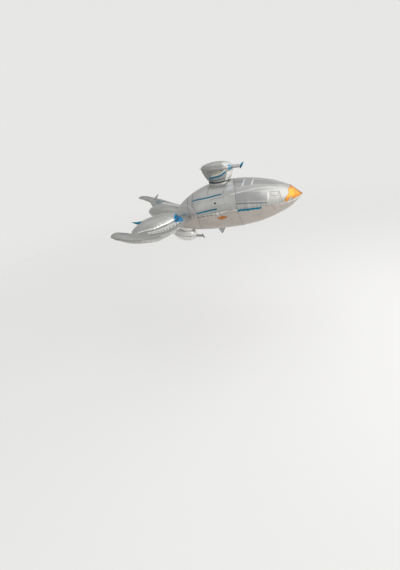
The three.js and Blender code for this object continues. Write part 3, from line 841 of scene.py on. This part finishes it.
def shader_node(tree, kind, values=None, **settings):
    """A new shader node. values fills its sockets, by name or number, with numbers or others' outputs."""
    made = tree.nodes.new("ShaderNode" + kind)
    for name, setting in settings.items():
        setattr(made, name, setting)
    for name, value in (values or {}).items():
        if isinstance(value, bpy.types.NodeSocket):
            tree.links.new(value, made.inputs[name])
        else:
            made.inputs[name].default_value = value
    return made.outputs


def film_group():
    """Fine creases and cloudy ink of printed film: colour, roughness and height over the surface."""
    name = "Printed Film"
    if name in bpy.data.node_groups:
        return bpy.data.node_groups[name]
    group = bpy.data.node_groups.new(name, "ShaderNodeTree")
    for title, kind, default in (("Ink", "Color", (0.6, 0.6, 0.6, 1)), ("Smoothness", "Float", 0.3),
                                 ("Cloud", "Float", 0.06), ("Crease Size", "Float", 14)):
        group.interface.new_socket(name=title, in_out="INPUT",
                                   socket_type="NodeSocket" + kind).default_value = default
    for title, kind in (("Colour", "Color"), ("Roughness", "Float"), ("Height", "Float")):
        group.interface.new_socket(name=title, in_out="OUTPUT", socket_type="NodeSocket" + kind)
    given = group.nodes.new("NodeGroupInput").outputs
    place = shader_node(group, "TexCoord")["Object"]

    def maths(operation, *values):
        return shader_node(group, "Math", dict(enumerate(values)), operation=operation)[0]

    broad = shader_node(group, "TexNoise", {"Vector": place, "Scale": given["Crease Size"], "Detail": 2,
                                            "Distortion": 0.6})["Fac"]
    fine = shader_node(group, "TexNoise", {"Vector": place, "Scale": GRAIN_SCALE, "Detail": 3})["Fac"]
    fold = shader_node(group, "TexVoronoi", {"Vector": place, "Scale": FOLD_SCALE},
                       feature="DISTANCE_TO_EDGE")
    fold_line = shader_node(group, "MapRange", {"Value": fold["Distance"], "From Max": 0.05,
                                                "To Min": -0.12, "To Max": 0})["Result"]
    tone = shader_node(group, "MapRange", {"Value": broad, "From Min": 0.3, "From Max": 0.7,
                                           "To Min": maths("SUBTRACT", 1, given["Cloud"]),
                                           "To Max": maths("ADD", 1, given["Cloud"])})["Result"]
    colour = shader_node(group, "VectorMath", {0: given["Ink"], "Scale": tone}, operation="SCALE")[0]
    rough = maths("MULTIPLY_ADD", fine, 0.12, given["Smoothness"])
    height = maths("ADD", maths("MULTIPLY_ADD", fine, 0.05, broad), fold_line)
    made = group.nodes.new("NodeGroupOutput").inputs
    for title, output in (("Colour", colour), ("Roughness", rough), ("Height", height)):
        group.links.new(output, made[title])
    return group


def new_material(name):
    """A new material, its nodes and the sockets of its shader."""
    material = bpy.data.materials.new(name)
    material.use_nodes = True
    return material, material.node_tree, material.node_tree.nodes["Principled BSDF"].inputs


# Metallic share, roughness before the grain, coat, cloudiness of the ink, size and depth of creases
FINISHES = {
    "silver": (0.66, 0.3, 0.14, 0.05, 12, 0.24),
    "taupe": (0.62, 0.32, 0.12, 0.07, 12, 0.3),
    "pale": (0.85, 0.16, 0.2, 0.06, 26, 0.3),
    "gold": (0.8, 0.24, 0.2, 0.14, 22, 0.5),
    "brown": (0.7, 0.3, 0.1, 0.1, 18, 0.2),
    "teal": (0.8, 0.28, 0.0, 0.1, 18, 0.2),
    "blue": (0.9, 0.26, 0.0, 0.06, 18, 0.15),
    "azure": (0.85, 0.28, 0.0, 0.06, 18, 0.15),
    "navy": (0.4, 0.4, 0.0, 0.1, 20, 0.2),
    "window": (0.66, 0.26, 0.15, 0.05, 12, 0.18),
    "shade": (0.62, 0.3, 0.12, 0.06, 12, 0.28),
    "satin": (0.62, 0.3, 0.12, 0.06, 12, 0.28),
    "line": (0.5, 0.36, 0.0, 0.05, 12, 0.16),
    "light": (0.66, 0.28, 0.15, 0.03, 12, 0.16),
    "sheen": (0.66, 0.28, 0.15, 0.04, 12, 0.16),
    "amber": (0.6, 0.32, 0.0, 0.2, 30, 0.2),
    "dark": (0.5, 0.34, 0.0, 0.1, 18, 0.2),
    "slate": (0.6, 0.3, 0.0, 0.08, 12, 0.16),
    "cream": (0.5, 0.32, 0.1, 0.05, 18, 0.16),
}


def film_material(ink):
    """Metallised film printed with one ink, its colour from the panel's settings."""
    name = "foil " + ink
    if name in bpy.data.materials:
        return bpy.data.materials[name]
    metallic, smoothness, coat, cloud, crease_size, crease = FINISHES[ink]
    material, tree, shader = new_material(name)
    for title, value in (("Metallic", metallic), ("Coat Weight", coat), ("Coat Roughness", COAT_ROUGHNESS)):
        shader[title].default_value = value
    film = tree.nodes.new("ShaderNodeGroup")
    film.node_tree = film_group()
    colour = (*getattr(bpy.context.scene.foil_balloon, ink), 1)
    for title, value in (("Ink", colour), ("Smoothness", smoothness), ("Cloud", cloud),
                         ("Crease Size", crease_size)):
        film.inputs[title].default_value = value
    bump = shader_node(tree, "Bump", {"Strength": crease, "Distance": BUMP_DEPTH,
                                      "Height": film.outputs["Height"]})
    tree.links.new(film.outputs["Colour"], shader["Base Color"])
    tree.links.new(film.outputs["Roughness"], shader["Roughness"])
    tree.links.new(bump["Normal"], shader["Normal"])
    return material


# Settings


def ink_setting(name, description, colour):
    return FloatVectorProperty(name=name, description=description, subtype="COLOR", size=3,
                               min=0, max=1, default=colour)


def power_setting(name, description, power):
    return FloatProperty(name=name, description=description, subtype="POWER", unit="POWER", min=0,
                         default=power)


class FoilBalloonSettings(bpy.types.PropertyGroup):
    """Colours of the inks and strengths of the lights"""

    silver: ink_setting("Silver", "Satin grey of the upper panels", (0.44, 0.438, 0.424))
    taupe: ink_setting("Taupe", "Warm grey of the belly barrel, and a painted reflection of the floor on the lower panels", (0.44, 0.40, 0.365))
    pale: ink_setting("Bare Film", "Unprinted film of seams, and a painted highlight along the engines' rims", (0.82, 0.82, 0.80))
    gold: ink_setting("Gold", "Nose", (0.72, 0.30, 0.04))
    brown: ink_setting("Brown", "Darker edges of the nose", (0.32, 0.15, 0.05))
    teal: ink_setting("Teal", "Stripes and tail tip", (0.015, 0.17, 0.28))
    blue: ink_setting("Blue", "Bright patches of the engines and wings", (0.0, 0.29, 0.60))
    azure: ink_setting("Azure", "The top gun's mouth and patch", (0.008, 0.21, 0.37))
    navy: ink_setting("Navy", "Line at the turrets' feet, partly print and partly painted shadow", (0.03, 0.05, 0.08))
    window: ink_setting("Window", "Window panes and satin panel", (0.35, 0.352, 0.35))
    # On the top bowl this ink is painted shade under the dome's rim.
    shade: ink_setting("Shade", "Darker film of the wings, rims and dome band, and painted shade on the top bowl", (0.322, 0.322, 0.308))
    satin: ink_setting("Satin", "Film of the engines' upper halves", (0.385, 0.385, 0.37))
    line: ink_setting("Line", "Thin printed panel lines, and painted shade in the wings' crease", (0.19, 0.18, 0.17))
    light: ink_setting("Light Line", "Pale printed lines, painted highlights and the belly turret's painted light", (0.70, 0.70, 0.68))
    sheen: ink_setting("Sheen", "Slightly lighter grey of prints and the top barrel, and a painted highlight band on the hull", (0.505, 0.51, 0.52))
    amber: ink_setting("Amber", "Patch under the seam", (0.46, 0.16, 0.03))
    dark: ink_setting("Dark", "Printed slots and port", (0.055, 0.055, 0.055))
    slate: ink_setting("Slate", "Dark band under the satin panel", (0.17, 0.21, 0.225))
    cream: ink_setting("Cream", "Printed hatches and rivet heads", (0.60, 0.55, 0.44))
    key: power_setting("Window Light", "Strength of the large light ahead", 30)
    fill: power_setting("Fill Light", "Strength of the light behind the camera", 9)
    top: power_setting("Top Light", "Strength of the light above", 8)
    room: FloatProperty(name="Room", description="Brightness of the pale room", default=0.86, min=0)


# Pieces made by turning a profile


def turned(name, profile, segments, matrix):
    """A solid turned about the X axis, its profile in distances along X and radii, then placed."""
    deselect()
    start, radius = profile[0]
    bpy.ops.mesh.primitive_circle_add(vertices=segments, radius=radius, fill_type="NGON",
                                      location=(start, 0, 0), rotation=(0, math.pi / 2, 0))
    piece = bpy.context.object
    piece.name = piece.data.name = name
    bpy.ops.object.transform_apply()
    bpy.ops.object.mode_set(mode="EDIT")
    bpy.ops.mesh.select_all(action="SELECT")
    for along, wide in profile[1:]:
        bpy.ops.mesh.extrude_region_move(TRANSFORM_OT_translate={"value": (along - start, 0, 0)})
        bpy.ops.transform.resize(value=(1, wide / radius, wide / radius), center_override=(along, 0, 0))
        start, radius = along, wide
    bpy.ops.object.mode_set(mode="OBJECT")
    edit_all(piece, bpy.ops.mesh.normals_make_consistent, inside=False)
    piece.data.transform(matrix)
    return piece


def settle_sharp(piece, degrees, *place):
    """Settles a finished piece, its edges sharp where they turn by more than so many degrees."""
    settle(piece, *place)
    bpy.ops.object.shade_smooth_by_angle(angle=math.radians(degrees))


# Operators, one for each piece or group of like pieces


def hull_station(cell):
    """Station of a cell's edge, counted from the tail."""
    body = np.clip(cell / HULL_CELLS["body"], 0, 1)
    nose = np.clip((cell - HULL_CELLS["body"]) / HULL_CELLS["nose"], 0, 1)
    return TAIL_X + (CAP_X - TAIL_X) * (0.35 * body**2 + 0.65 * body) + (NOSE_X - CAP_X) * nose


def hull_film(name, first, last, across, turn):
    """A panel of the hull between two cells, turn(x, v) going from one of its edges to the other."""

    def place(u, v):
        x = hull_station(first + u * (last - first))
        return hull_surface(x, turn(x, v))

    return laid_film(name, (last - first, across), place, HULL_CENTRE)


class BALLOON_OT_hull(bpy.types.Operator):
    """Builds the hull's upper and lower panels and the gold nose"""

    bl_idname = "balloon.hull"
    bl_label = "Hull Panels"

    def execute(self, context):
        body = HULL_CELLS["body"]
        whole = body + HULL_CELLS["nose"]

        def over(x, v):
            return seam_turn(x) * (2 * crowded(v) - 1)

        def under(x, v):
            return seam_turn(x) + (180 - seam_turn(x)) * crowded(v)

        upper = hull_film("hull_upper_panel", 0, body, HULL_CELLS["upper"], over)
        settle(upper, "silver", "foil_silver", "hull_upper")
        nose = hull_film("nose_gold_panel", body, whole, HULL_CELLS["upper"], over)
        settle(nose, "gold", "foil_gold", "nose_cap")
        # The lower panels' warm taupe film is a painted reflection of the warm floor below.
        for word, side in (("right", 1), ("left", -1)):
            lower = hull_film(f"hull_lower_panel_{word}", 0, whole, HULL_CELLS["lower"],
                              lambda x, v, side=side: side * under(x, v))
            settle(lower, "taupe", "foil_taupe", f"hull_lower_{word}")
        return {"FINISHED"}


class BALLOON_OT_hull_seams(bpy.types.Operator):
    """Builds the sealed strips along the hull's three seams"""

    bl_idname = "balloon.hull_seams"
    bl_label = "Hull Seams"

    def execute(self, context):
        self.seam("seam_right", SIDE_SEAM_AFT, SEAM_WIDTH, seam_turn)
        self.seam("seam_left", SIDE_SEAM_AFT, SEAM_WIDTH, lambda x: -seam_turn(x))
        self.seam("seam_keel", KEEL_SEAM_AFT, KEEL_SEAM_WIDTH, lambda x: np.full_like(x, 180.0))
        return {"FINISHED"}

    def seam(self, node, aft, width, turn):
        def station(u):
            return aft + (NOSE_X - SEAM_SHORT - aft) * u

        def edge(u):
            return hull_surface(station(u), turn(station(u)))

        def outward(u):
            cosine, sine = compass(turn(station(u)))
            return places(0.0, -sine, cosine)

        surface = seam_surface(edge, outward, CELLS["hull_seam"], width, SEEDS[node])
        strip = laid_film(node + "_strip", CELLS["hull_seam"], surface, offset=0)
        settle(strip, "pale", "foil_pale", node)


def ring_film(name, surface, cells, centre):
    """A closed panel round a crown: surface(angle, reach)."""

    def place(u, v):
        reach = np.sin(math.pi / 2 * (0.65 * v + 0.35 * (1 - (1 - v) ** 2)))
        return surface(360 * closed(u), reach)

    return laid_film(name, cells, place, centre)


def rim_surface(surface, matrix, seed, width=RIM_WIDTH, lip=0.0):
    """Surface of the sealed strip round a pillow's rim. lip is how much wider it grows at the back."""
    up = np.array(matrix)[:3, 2]

    def edge(u):
        return surface(360 * u, np.ones_like(u))

    def outward(u):
        ahead = surface(360 * u + 1, np.ones_like(u)) - surface(360 * u - 1, np.ones_like(u))
        wide = 1 + lip * np.exp(-(((u - 0.5) / LIP_SPREAD) ** 2))
        return unit(np.cross(ahead, up)) * wide[:, None]

    return seam_surface(edge, outward, CELLS["rim"], width, seed, loop=True)


def engine_rim(word):
    return rim_surface(engine_surface(word, 1), engine_matrix(word), ENGINES[word]["rim_seed"])


def dome_rim(place):
    seed = SEEDS["dome_rim"] + TURRETS[place]["side"]
    return rim_surface(dome_surface(place), turret_matrix(place), seed, THIN_RIM_WIDTH, TURRET_LIP)


def rim_strip(name, rim, cap, ink, slot):
    """The sealed strip round a pillow's rim, turned away from the crown of its cap."""
    crown = cap(np.zeros(1), np.zeros(1))[0]
    settle(laid_film(name, CELLS["rim"], rim, crown, offset=0), ink, slot)


class BALLOON_OT_engines(bpy.types.Operator):
    """Builds the two engine pillows with their rims"""

    bl_idname = "balloon.engines"
    bl_label = "Engine Pillows"

    def execute(self, context):
        for word, seat in ENGINES.items():
            # The lower halves' warm taupe film is a painted reflection of the floor below.
            for half, up, ink in (("upper", 1, "satin"), ("lower", -1, "taupe")):
                surface = engine_surface(word, up)
                film = ring_film(f"engine_{word}_{half}_panel", surface, CELLS["engine"], seat["centre"])
                settle(film, ink, HALF_SLOTS[half], f"engine_{word}_{half}")
            rim_strip(f"engine_{word}_rim", engine_rim(word), engine_surface(word, 1), "pale", "foil_pale")
        return {"FINISHED"}


class BALLOON_OT_wings(bpy.types.Operator):
    """Builds the two wings with their rims and the fin on the left one"""

    bl_idname = "balloon.wings"
    bl_label = "Wings"

    def execute(self, context):
        for word, wing in WINGS.items():
            # The lower halves' warm taupe film is a painted reflection of the floor below.
            for half, up, ink in (("upper", 1, "shade"), ("lower", -1, "taupe")):
                surface = wing_surface(word, up)
                inside = WING[3, :3] * np.array([1, wing["side"], 1]) - np.array([0, 0, up * 0.4])
                film = laid_film(f"wing_{word}_{half}_panel", CELLS["wing"],
                                 lambda u, v: surface(1 - (1 - u) ** 1.15, 180 * v), inside)
                settle(film, ink, HALF_SLOTS[half], f"wing_{word}_{half}")
            self.rim(word, wing["side"])
        self.fin()
        return {"FINISHED"}

    def rim(self, word, side):
        surface = wing_surface(word, 1)
        first, last = WING_RIM_REACH

        def edge(u):
            along = first + (last - first) * u
            return surface(np.where(along < 1, along, 2 - along), np.where(along < 1, 0.0, 180.0))

        def outward(u):
            return unit(np.cross(edge(u + 4e-3) - edge(u - 4e-3), np.array([0, 0, 1])) * side)

        rim = seam_surface(edge, outward, CELLS["wing_rim"], THIN_RIM_WIDTH, SEEDS["wing_rim"] + side)
        settle(laid_film(f"wing_{word}_rim", CELLS["wing_rim"], rim, offset=0), "pale", "foil_pale")

    def fin(self):
        foot = wing_surface("left", 1)(np.array([FIN["at"]]), np.array([90.0]))[0]

        def place(u, v):
            x = foot[0] + FIN["lean"] * v**1.5 + (u - 0.5) * FIN["foot"] * (1 - v) ** 0.9
            y = foot[1] + 0.003 * np.sin(v * math.pi) + 0.0006 * np.sin(x * 900) * v
            return places(x, y, foot[2] - 0.003 + (FIN["height"] - 0.001) * v)

        beside = foot - np.array([0, 1, 0])
        blade = laid_film("wing_fin_blade", CELLS["fin"], place, beside, FIN["thickness"], 0)
        settle(blade, "silver", "foil_silver", "wing_fin_left")


class BALLOON_OT_tail(bpy.types.Operator):
    """Builds the tail pod and its blue tip"""

    bl_idname = "balloon.tail"
    bl_label = "Tail Pod"

    def execute(self, context):
        # The lower half's warm taupe film is a painted reflection of the floor below.
        for half, up, ink in (("upper", 1, "silver"), ("lower", -1, "taupe")):

            def pod(u, v, up=up):
                x = TAIL["tip"] + (TAIL["front"] - TAIL["tip"]) * u
                return tail_surface(x, up * 180 * crowded(v))

            film = laid_film(f"tail_pod_{half}_panel", CELLS["tail"], pod, (TAIL["widest"], 0, TAIL["z"]))
            settle(film, ink, "foil_" + ink, f"tail_pod_{half}")

        def cone(u, v):
            drawn = np.clip(np.sin(v * TAIL_TIP["creases"] * 2 * math.pi), 0, 1) * (1 - u) * u * 4
            radius = TAIL["end_radius"] * (1 - u) ** 0.8 * (1 - TAIL_TIP["depth"] * drawn)
            cosine, sine = compass(360 * closed(v))
            x = TAIL["tip"] + (TAIL_TIP["end"] - TAIL["tip"]) * u
            return places(x, radius * cosine, TAIL["z"] + TAIL_TIP["lift"] * u**2 + radius * sine)

        tip = laid_film("tail_tip_cone", CELLS["tail_tip"], cone, (TAIL["tip"] - 0.02, 0, TAIL["z"]))
        settle(tip, "teal", "foil_teal", "tail_tip")
        return {"FINISHED"}


class BALLOON_OT_turrets(bpy.types.Operator):
    """Builds the turrets: bowl, dome, rim, pad, barrel and mouth"""

    bl_idname = "balloon.turrets"
    bl_label = "Turrets"

    def execute(self, context):
        for place, spec in TURRETS.items():
            matrix = turret_matrix(place)
            self.pillow(place, spec, matrix)
            self.pad(place, spec, matrix)
            self.gun(place, spec, matrix)
        return {"FINISHED"}

    def pillow(self, place, spec, matrix):
        centre = matrix @ Vector((0, 0, spec["bowl"] * 0.6))
        bowl, dome = bowl_surface(place), dome_surface(place)
        wall = laid_film(f"{place}_turret_bowl_panel", CELLS["bowl"],
                         lambda u, v: bowl(360 * closed(u), v), centre)
        settle(wall, spec["ink"], "foil_silver", f"{place}_turret_bowl")
        cover = ring_film(f"{place}_turret_dome_panel", dome, CELLS["dome"], centre)
        settle(cover, spec["dome_ink"], "foil_silver", f"{place}_turret_dome")
        rim_strip(f"{place}_turret_rim", dome_rim(place), dome, spec["ink"], "foil_silver")

    def pad(self, place, spec, matrix):
        size = spec["size"]
        high, wide = PAD["height"] * size, PAD["radius"] * size
        profile = [(-high, wide * 0.98), (-high * 0.5, wide), (-0.003, wide), (-0.0008, wide * 0.985),
                   (-0.0003, wide * 0.96)]
        upright = matrix @ Matrix.Rotation(-math.pi / 2, 4, "Y")
        disc = turned(f"{place}_turret_foot_pad", profile, PAD["segments"], upright)
        for corner in disc.data.vertices[:PAD["segments"]]:
            x, y, z = corner.co
            rise = math.sqrt(max(float(hull_radius(x)) ** 2 - y * y, 0)) - 0.001
            corner.co.z = float(hull_axis(x)) + spec["side"] * rise
        settle_sharp(disc, PAD["sharp"], spec["pad_ink"], "foil_navy", f"{place}_turret_pad")

        # The navy foot line is partly print and partly painted shadow where the turret meets the hull,
        # deeper at the back.
        def foot(u, v):
            cosine, sine = compass(360 * closed(u))
            drop = spec["foot_line"] * size * (1 - 0.55 * cosine)
            reach = wide + 0.0007
            return placed(places(cosine * reach, sine * reach, -0.0004 - (1 - v) * drop), matrix)

        inside = matrix @ Vector((0, 0, -0.01))
        line = laid_film(f"{place}_turret_foot_line", CELLS["foot_line"], foot, inside, 0)
        settle(line, "navy", "foil_navy")

    def gun(self, place, spec, matrix):
        size = spec["size"]
        height = spec["bowl"] + spec["barrel_rise"]
        front = TURRET["front"] * size
        thick, thin = BARREL["radius"] * size, BARREL["radius"] * BARREL["taper"] * size
        reach = BARREL["length"] * size
        profile = [(-0.012 * size, thick * 0.9), (0.002, thick * 1.02), (0.006, thick * 1.04),
                   (0.008, thick * 0.96), (reach * 0.45, thick * 0.97), (reach * 0.5, thick * 1.0),
                   (reach * 0.55, thick * 0.96), (reach * 0.9, thin * 0.99), (reach * 0.96, thin),
                   (reach, thin * 0.93)]
        tube = turned(f"{place}_turret_gun_barrel", profile, BARREL["segments"],
                      matrix @ Matrix.Translation((front, 0, height)))
        settle_sharp(tube, BARREL["sharp"], spec["barrel_ink"], "foil_pale", f"{place}_turret_barrel")

        droop = math.radians(MUZZLE["droop"])
        room = thin * math.sin(droop) + 0.0003
        spot = Matrix.Translation((front + reach + room, 0, height + MUZZLE["lift"] * size))
        length, mouth, neck = MUZZLE["length"] * size, MUZZLE["mouth"] * size, thin
        profile = [(0, neck * 0.94), (0.001, neck), (length * 0.2, neck * 1.12),
                   (length * 0.34, mouth * 0.78), (length * 0.46, mouth * 0.94), (length * 0.62, mouth),
                   (length * 0.7, mouth * 0.985), (length * 0.66, mouth * 0.93),
                   (length * 0.55, mouth * 0.72), (length * 0.48, neck * 0.3)]
        horn = turned(f"{place}_turret_gun_mouth", profile, MUZZLE["segments"],
                      matrix @ spot @ Matrix.Rotation(droop, 4, "Y"))
        settle_sharp(horn, MUZZLE["sharp"], spec["mouth_ink"], "foil_teal", f"{place}_turret_muzzle")


class BALLOON_OT_hull_prints(bpy.types.Operator):
    """Prints the windows, stripes, panel lines and rivets on the hull, and paints a highlight band and
    glints on it
    """

    bl_idname = "balloon.hull_prints"
    bl_label = "Hull Prints"

    def execute(self, context):
        inks = InkSet("hull")
        sheets = layered(hull_surface, (0.001, 0.5))
        x = np.linspace(SEAM_STRIPE["from"], SEAM_STRIPE["to"], 17)
        wave = 0.5 * np.sin(x * 190) + 0.3 * np.sin(x * 83)
        stripe = [list(zip(x, seam_turn(x) + SEAM_STRIPE["above"])),
                  list(zip(x, seam_turn(x) + SEAM_STRIPE["below"] + wave))]
        for side in (1, -1):

            def at(path):
                return [(x, side * turn) for x, turn in path]

            inks.marks(sheets, HULL_MARKS + [("teal", 1, "area", *stripe)], at)
            inks.fittings(sheets[2][0], HULL_FITTINGS, lambda k, rng: (
                HULL_ROW["start"] + HULL_ROW["pitch"] * (k + rng.uniform(0.35, 0.65)),
                side * (HULL_ROW["turn"] + HULL_ROW["step"] * (k % 3))))
        inks.marks(sheets, NOSE_TOP, list)
        inks.finish()
        return {"FINISHED"}


class BALLOON_OT_chamber_prints(bpy.types.Operator):
    """Prints the stripes, patches and fittings on the turrets, engines and wings, and paints highlights on
    the top turret's front, the engines' rims and under the wings' fittings, and shade in the wings' crease
    """

    bl_idname = "balloon.chamber_prints"
    bl_label = "Chamber Prints"

    def execute(self, context):
        for place in TURRETS:
            self.turret(place)
        for word in ENGINES:
            self.engine(word)
            self.wing(word)
        return {"FINISHED"}

    def turret(self, place):
        inks = InkSet(f"{place}_turret", "line")
        bowl, dome = layered(bowl_surface(place), (0.5, 0.01)), layered(dome_surface(place), (0.5, 0.01))
        sheets = {"bowl": bowl[0], "bowl over": bowl[2], "dome": dome[1], "dome over": dome[2],
                  "rim": both_faces(dome_rim(place))}
        if place == "belly":
            inks.marks(sheets, BELLY_RIGHT_MARKS, list)
        for side in (1, -1):
            inks.marks(sheets, TURRET_MARKS[place],
                       lambda path: [(180 - side * (180 - angle), share) for angle, share in path])
        inks.finish()

    def engine(self, word):
        side = WINGS[word]["side"]
        inks = InkSet(f"engine_{word}", "dark", "line", "light")
        lower = layered(engine_surface(word, -1), (0.5, 0.005))
        sheets = {"upper": layered(engine_surface(word, 1), (0.5, 0.005))[0], "lower": lower[0],
                  "rim": both_faces(engine_rim(word))}
        inks.marks(sheets, ENGINE_MARKS,
                   lambda path: [(180 + side * (180 - angle), share) for angle, share in path])
        inks.fittings(lower[2][0], ENGINE_FITTINGS, lambda k, rng: (
            180 + side * (180 - ENGINE_ROW["start"] - ENGINE_ROW["pitch"] * (k + rng.uniform(0.3, 0.7))),
            ENGINE_ROW["share"][k % 2]))
        inks.finish()

    def wing(self, word):
        inks = InkSet(f"wing_{word}", "blue", "line", "light", "slate")
        sheets = layered(wing_surface(word, 1), (0.002, 1))
        inks.marks(sheets, WING_MARKS + (LEFT_WING_MARKS if word == "left" else []), list)

        def spot(k, rng):
            along = WING_ROW["start"] + WING_ROW["pitch"] * k
            return along, np.interp(along, WING_ROW["along"], WING_ROW["turn"]) + WING_ROW["beside"][k % 2]

        inks.fittings(sheets[2][0], WING_FITTINGS, spot)
        inks.finish()


class BALLOON_OT_fill_tab(bpy.types.Operator):
    """Builds the flat sealed tab under the keel through which the balloon is filled"""

    bl_idname = "balloon.fill_tab"
    bl_label = "Fill Tab"

    def execute(self, context):
        low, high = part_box("fill_tab")

        def place(u, v):
            half = (high.x - low.x) / 2 * np.maximum(1 - v, 0) ** 0.95 + 0.0012
            ripple = 0.0012 * np.sin(u * 9 + v * 4) * (0.3 + v) + 0.002 * v * (u - 0.5)
            return places((low.x + high.x) / 2 + (2 * u - 1) * half, ripple, high.z - (high.z - low.z) * v)

        tab = laid_film("fill_tab_film", CELLS["fill_tab"], place, (0, 1, -0.2), TAB_THICKNESS, 0)
        settle(tab, "silver", "foil_pale", "fill_tab")
        edges = []
        for face in (1, -1):

            def front(u, v, lift=0.0, face=face):
                return place(u, v) + np.array([0, face * (TAB_THICKNESS / 2 + lift), 0])

            sheet = Printable(front, (0.01, 0.01))
            for side in (-1, 1):
                path = [(0.5 + side * out, down) for out, down in TAB_EDGE]
                edges += sheet.line(path, TAB_EDGE_WIDTH)
        print_piece(edges, "fill_tab_edges", "dark", "foil_pale")
        return {"FINISHED"}


class BALLOON_OT_stage(bpy.types.Operator):
    """Sets the pale floor, the room, the lights and the camera"""

    bl_idname = "balloon.stage"
    bl_label = "Stage"

    def execute(self, context):
        settings = context.scene.foil_balloon
        context.scene.view_settings.view_transform = "Standard"
        self.floor()
        self.room(context.scene, settings.room)
        for name, (power, *light) in LIGHTS.items():
            self.light(name, *light, getattr(settings, power))
        self.camera(context.scene)
        return {"FINISHED"}

    def floor(self):
        deselect()
        bpy.ops.mesh.primitive_circle_add(vertices=96, radius=FLOOR_RADIUS, fill_type="NGON",
                                          location=(0, 0, FLOOR_Z))
        floor = bpy.context.object
        floor.name = "studio_floor"
        bpy.ops.object.transform_apply()
        material, tree, shader = new_material("pale floor")
        shader["Base Color"].default_value = FLOOR_COLOUR
        shader["Roughness"].default_value = FLOOR_ROUGHNESS
        where = shader_node(tree, "TexCoord")["Object"]
        far = shader_node(tree, "VectorMath", {0: where}, operation="LENGTH")["Value"]
        start, end = FLOOR_FADE
        fade = shader_node(tree, "MapRange", {"Value": far, "From Min": start, "From Max": end, "To Min": 1,
                                              "To Max": 0}, interpolation_type="SMOOTHSTEP")
        tree.links.new(fade["Result"], shader["Alpha"])
        floor.data.materials.append(material)

    def room(self, scene, brightness):
        world = bpy.data.worlds.new("pale room")
        scene.world = world
        world.use_nodes = True
        tree = world.node_tree
        tree.nodes.clear()
        way = shader_node(tree, "TexCoord")["Generated"]
        split = shader_node(tree, "SeparateXYZ", {0: way})
        level = shader_node(tree, "MapRange", {"Value": split["Z"], "From Min": -1})["Result"]
        ramp = tree.nodes.new("ShaderNodeValToRGB")
        ramp.color_ramp.elements[0].color = ROOM["below"]
        ramp.color_ramp.elements[1].color = ROOM["above"]
        ramp.color_ramp.elements.new(0.5).color = ROOM["level"]
        tree.links.new(level, ramp.inputs["Fac"])
        start, end = ROOM_AHEAD
        side = shader_node(tree, "MapRange", {
            "Value": split["X"], "From Min": start, "From Max": end, "To Min": brightness,
            "To Max": brightness * ROOM_GAIN}, interpolation_type="SMOOTHSTEP")["Result"]
        around = shader_node(tree, "Background", {"Color": ramp.outputs["Color"], "Strength": side})[0]
        seen = shader_node(tree, "Background", {"Color": ROOM["seen"]})[0]
        camera = shader_node(tree, "LightPath")["Is Camera Ray"]
        mixed = shader_node(tree, "MixShader", {"Fac": camera, 1: around, 2: seen})[0]
        shader_node(tree, "OutputWorld", {"Surface": mixed})

    def light(self, name, place, target, size, colour, power):
        data = bpy.data.lights.new(name, "AREA")
        data.shape = "RECTANGLE"
        data.size, data.size_y = size
        data.energy = power
        data.color = colour
        light = bpy.data.objects.new(name, data)
        light.location = place
        light.rotation_euler = (Vector(target) - Vector(place)).to_track_quat("-Z", "Y").to_euler()
        bpy.context.scene.collection.objects.link(light)

    def camera(self, scene):
        data = bpy.data.cameras.new("photo_camera")
        camera = bpy.data.objects.new("photo_camera", data)
        data.lens = LENS
        data.sensor_width = 36
        data.shift_y = SHIFT_Y
        right, up = Vector(SIGHT_RIGHT), Vector(SIGHT_UP)
        turn = Matrix((right, up, right.cross(up))).transposed().to_4x4()
        camera.matrix_world = Matrix.Translation(EYE) @ turn
        scene.collection.objects.link(camera)
        scene.camera = camera


class BALLOON_PT_panel(bpy.types.Panel):
    """Lists the balloon's pieces, colours and lights"""

    bl_idname = "BALLOON_PT_panel"
    bl_label = "Foil Balloon"
    bl_space_type = "VIEW_3D"
    bl_region_type = "UI"
    bl_category = "Balloon"

    def draw(self, context):
        settings = context.scene.foil_balloon
        column = self.layout.column(align=True)
        for operator in OPERATORS:
            column.operator(operator.bl_idname)
        column = self.layout.column()
        for name in FoilBalloonSettings.__annotations__:
            column.prop(settings, name)


OPERATORS = (
    BALLOON_OT_stage,
    BALLOON_OT_hull,
    BALLOON_OT_hull_seams,
    BALLOON_OT_turrets,
    BALLOON_OT_engines,
    BALLOON_OT_wings,
    BALLOON_OT_tail,
    BALLOON_OT_fill_tab,
    BALLOON_OT_hull_prints,
    BALLOON_OT_chamber_prints,
)
CLASSES = (FoilBalloonSettings, *OPERATORS, BALLOON_PT_panel)


def register():
    for cls in CLASSES:
        bpy.utils.register_class(cls)
    bpy.types.Scene.foil_balloon = PointerProperty(type=FoilBalloonSettings)


def unregister():
    del bpy.types.Scene.foil_balloon
    for cls in reversed(CLASSES):
        bpy.utils.unregister_class(cls)


def main():
    register()
    bpy.ops.balloon.stage()
    bpy.ops.balloon.hull()
    bpy.ops.balloon.hull_seams()
    bpy.ops.balloon.turrets()
    bpy.ops.balloon.engines()
    bpy.ops.balloon.wings()
    bpy.ops.balloon.tail()
    bpy.ops.balloon.fill_tab()
    bpy.ops.balloon.hull_prints()
    bpy.ops.balloon.chamber_prints()


if __name__ == "__main__":
    main()
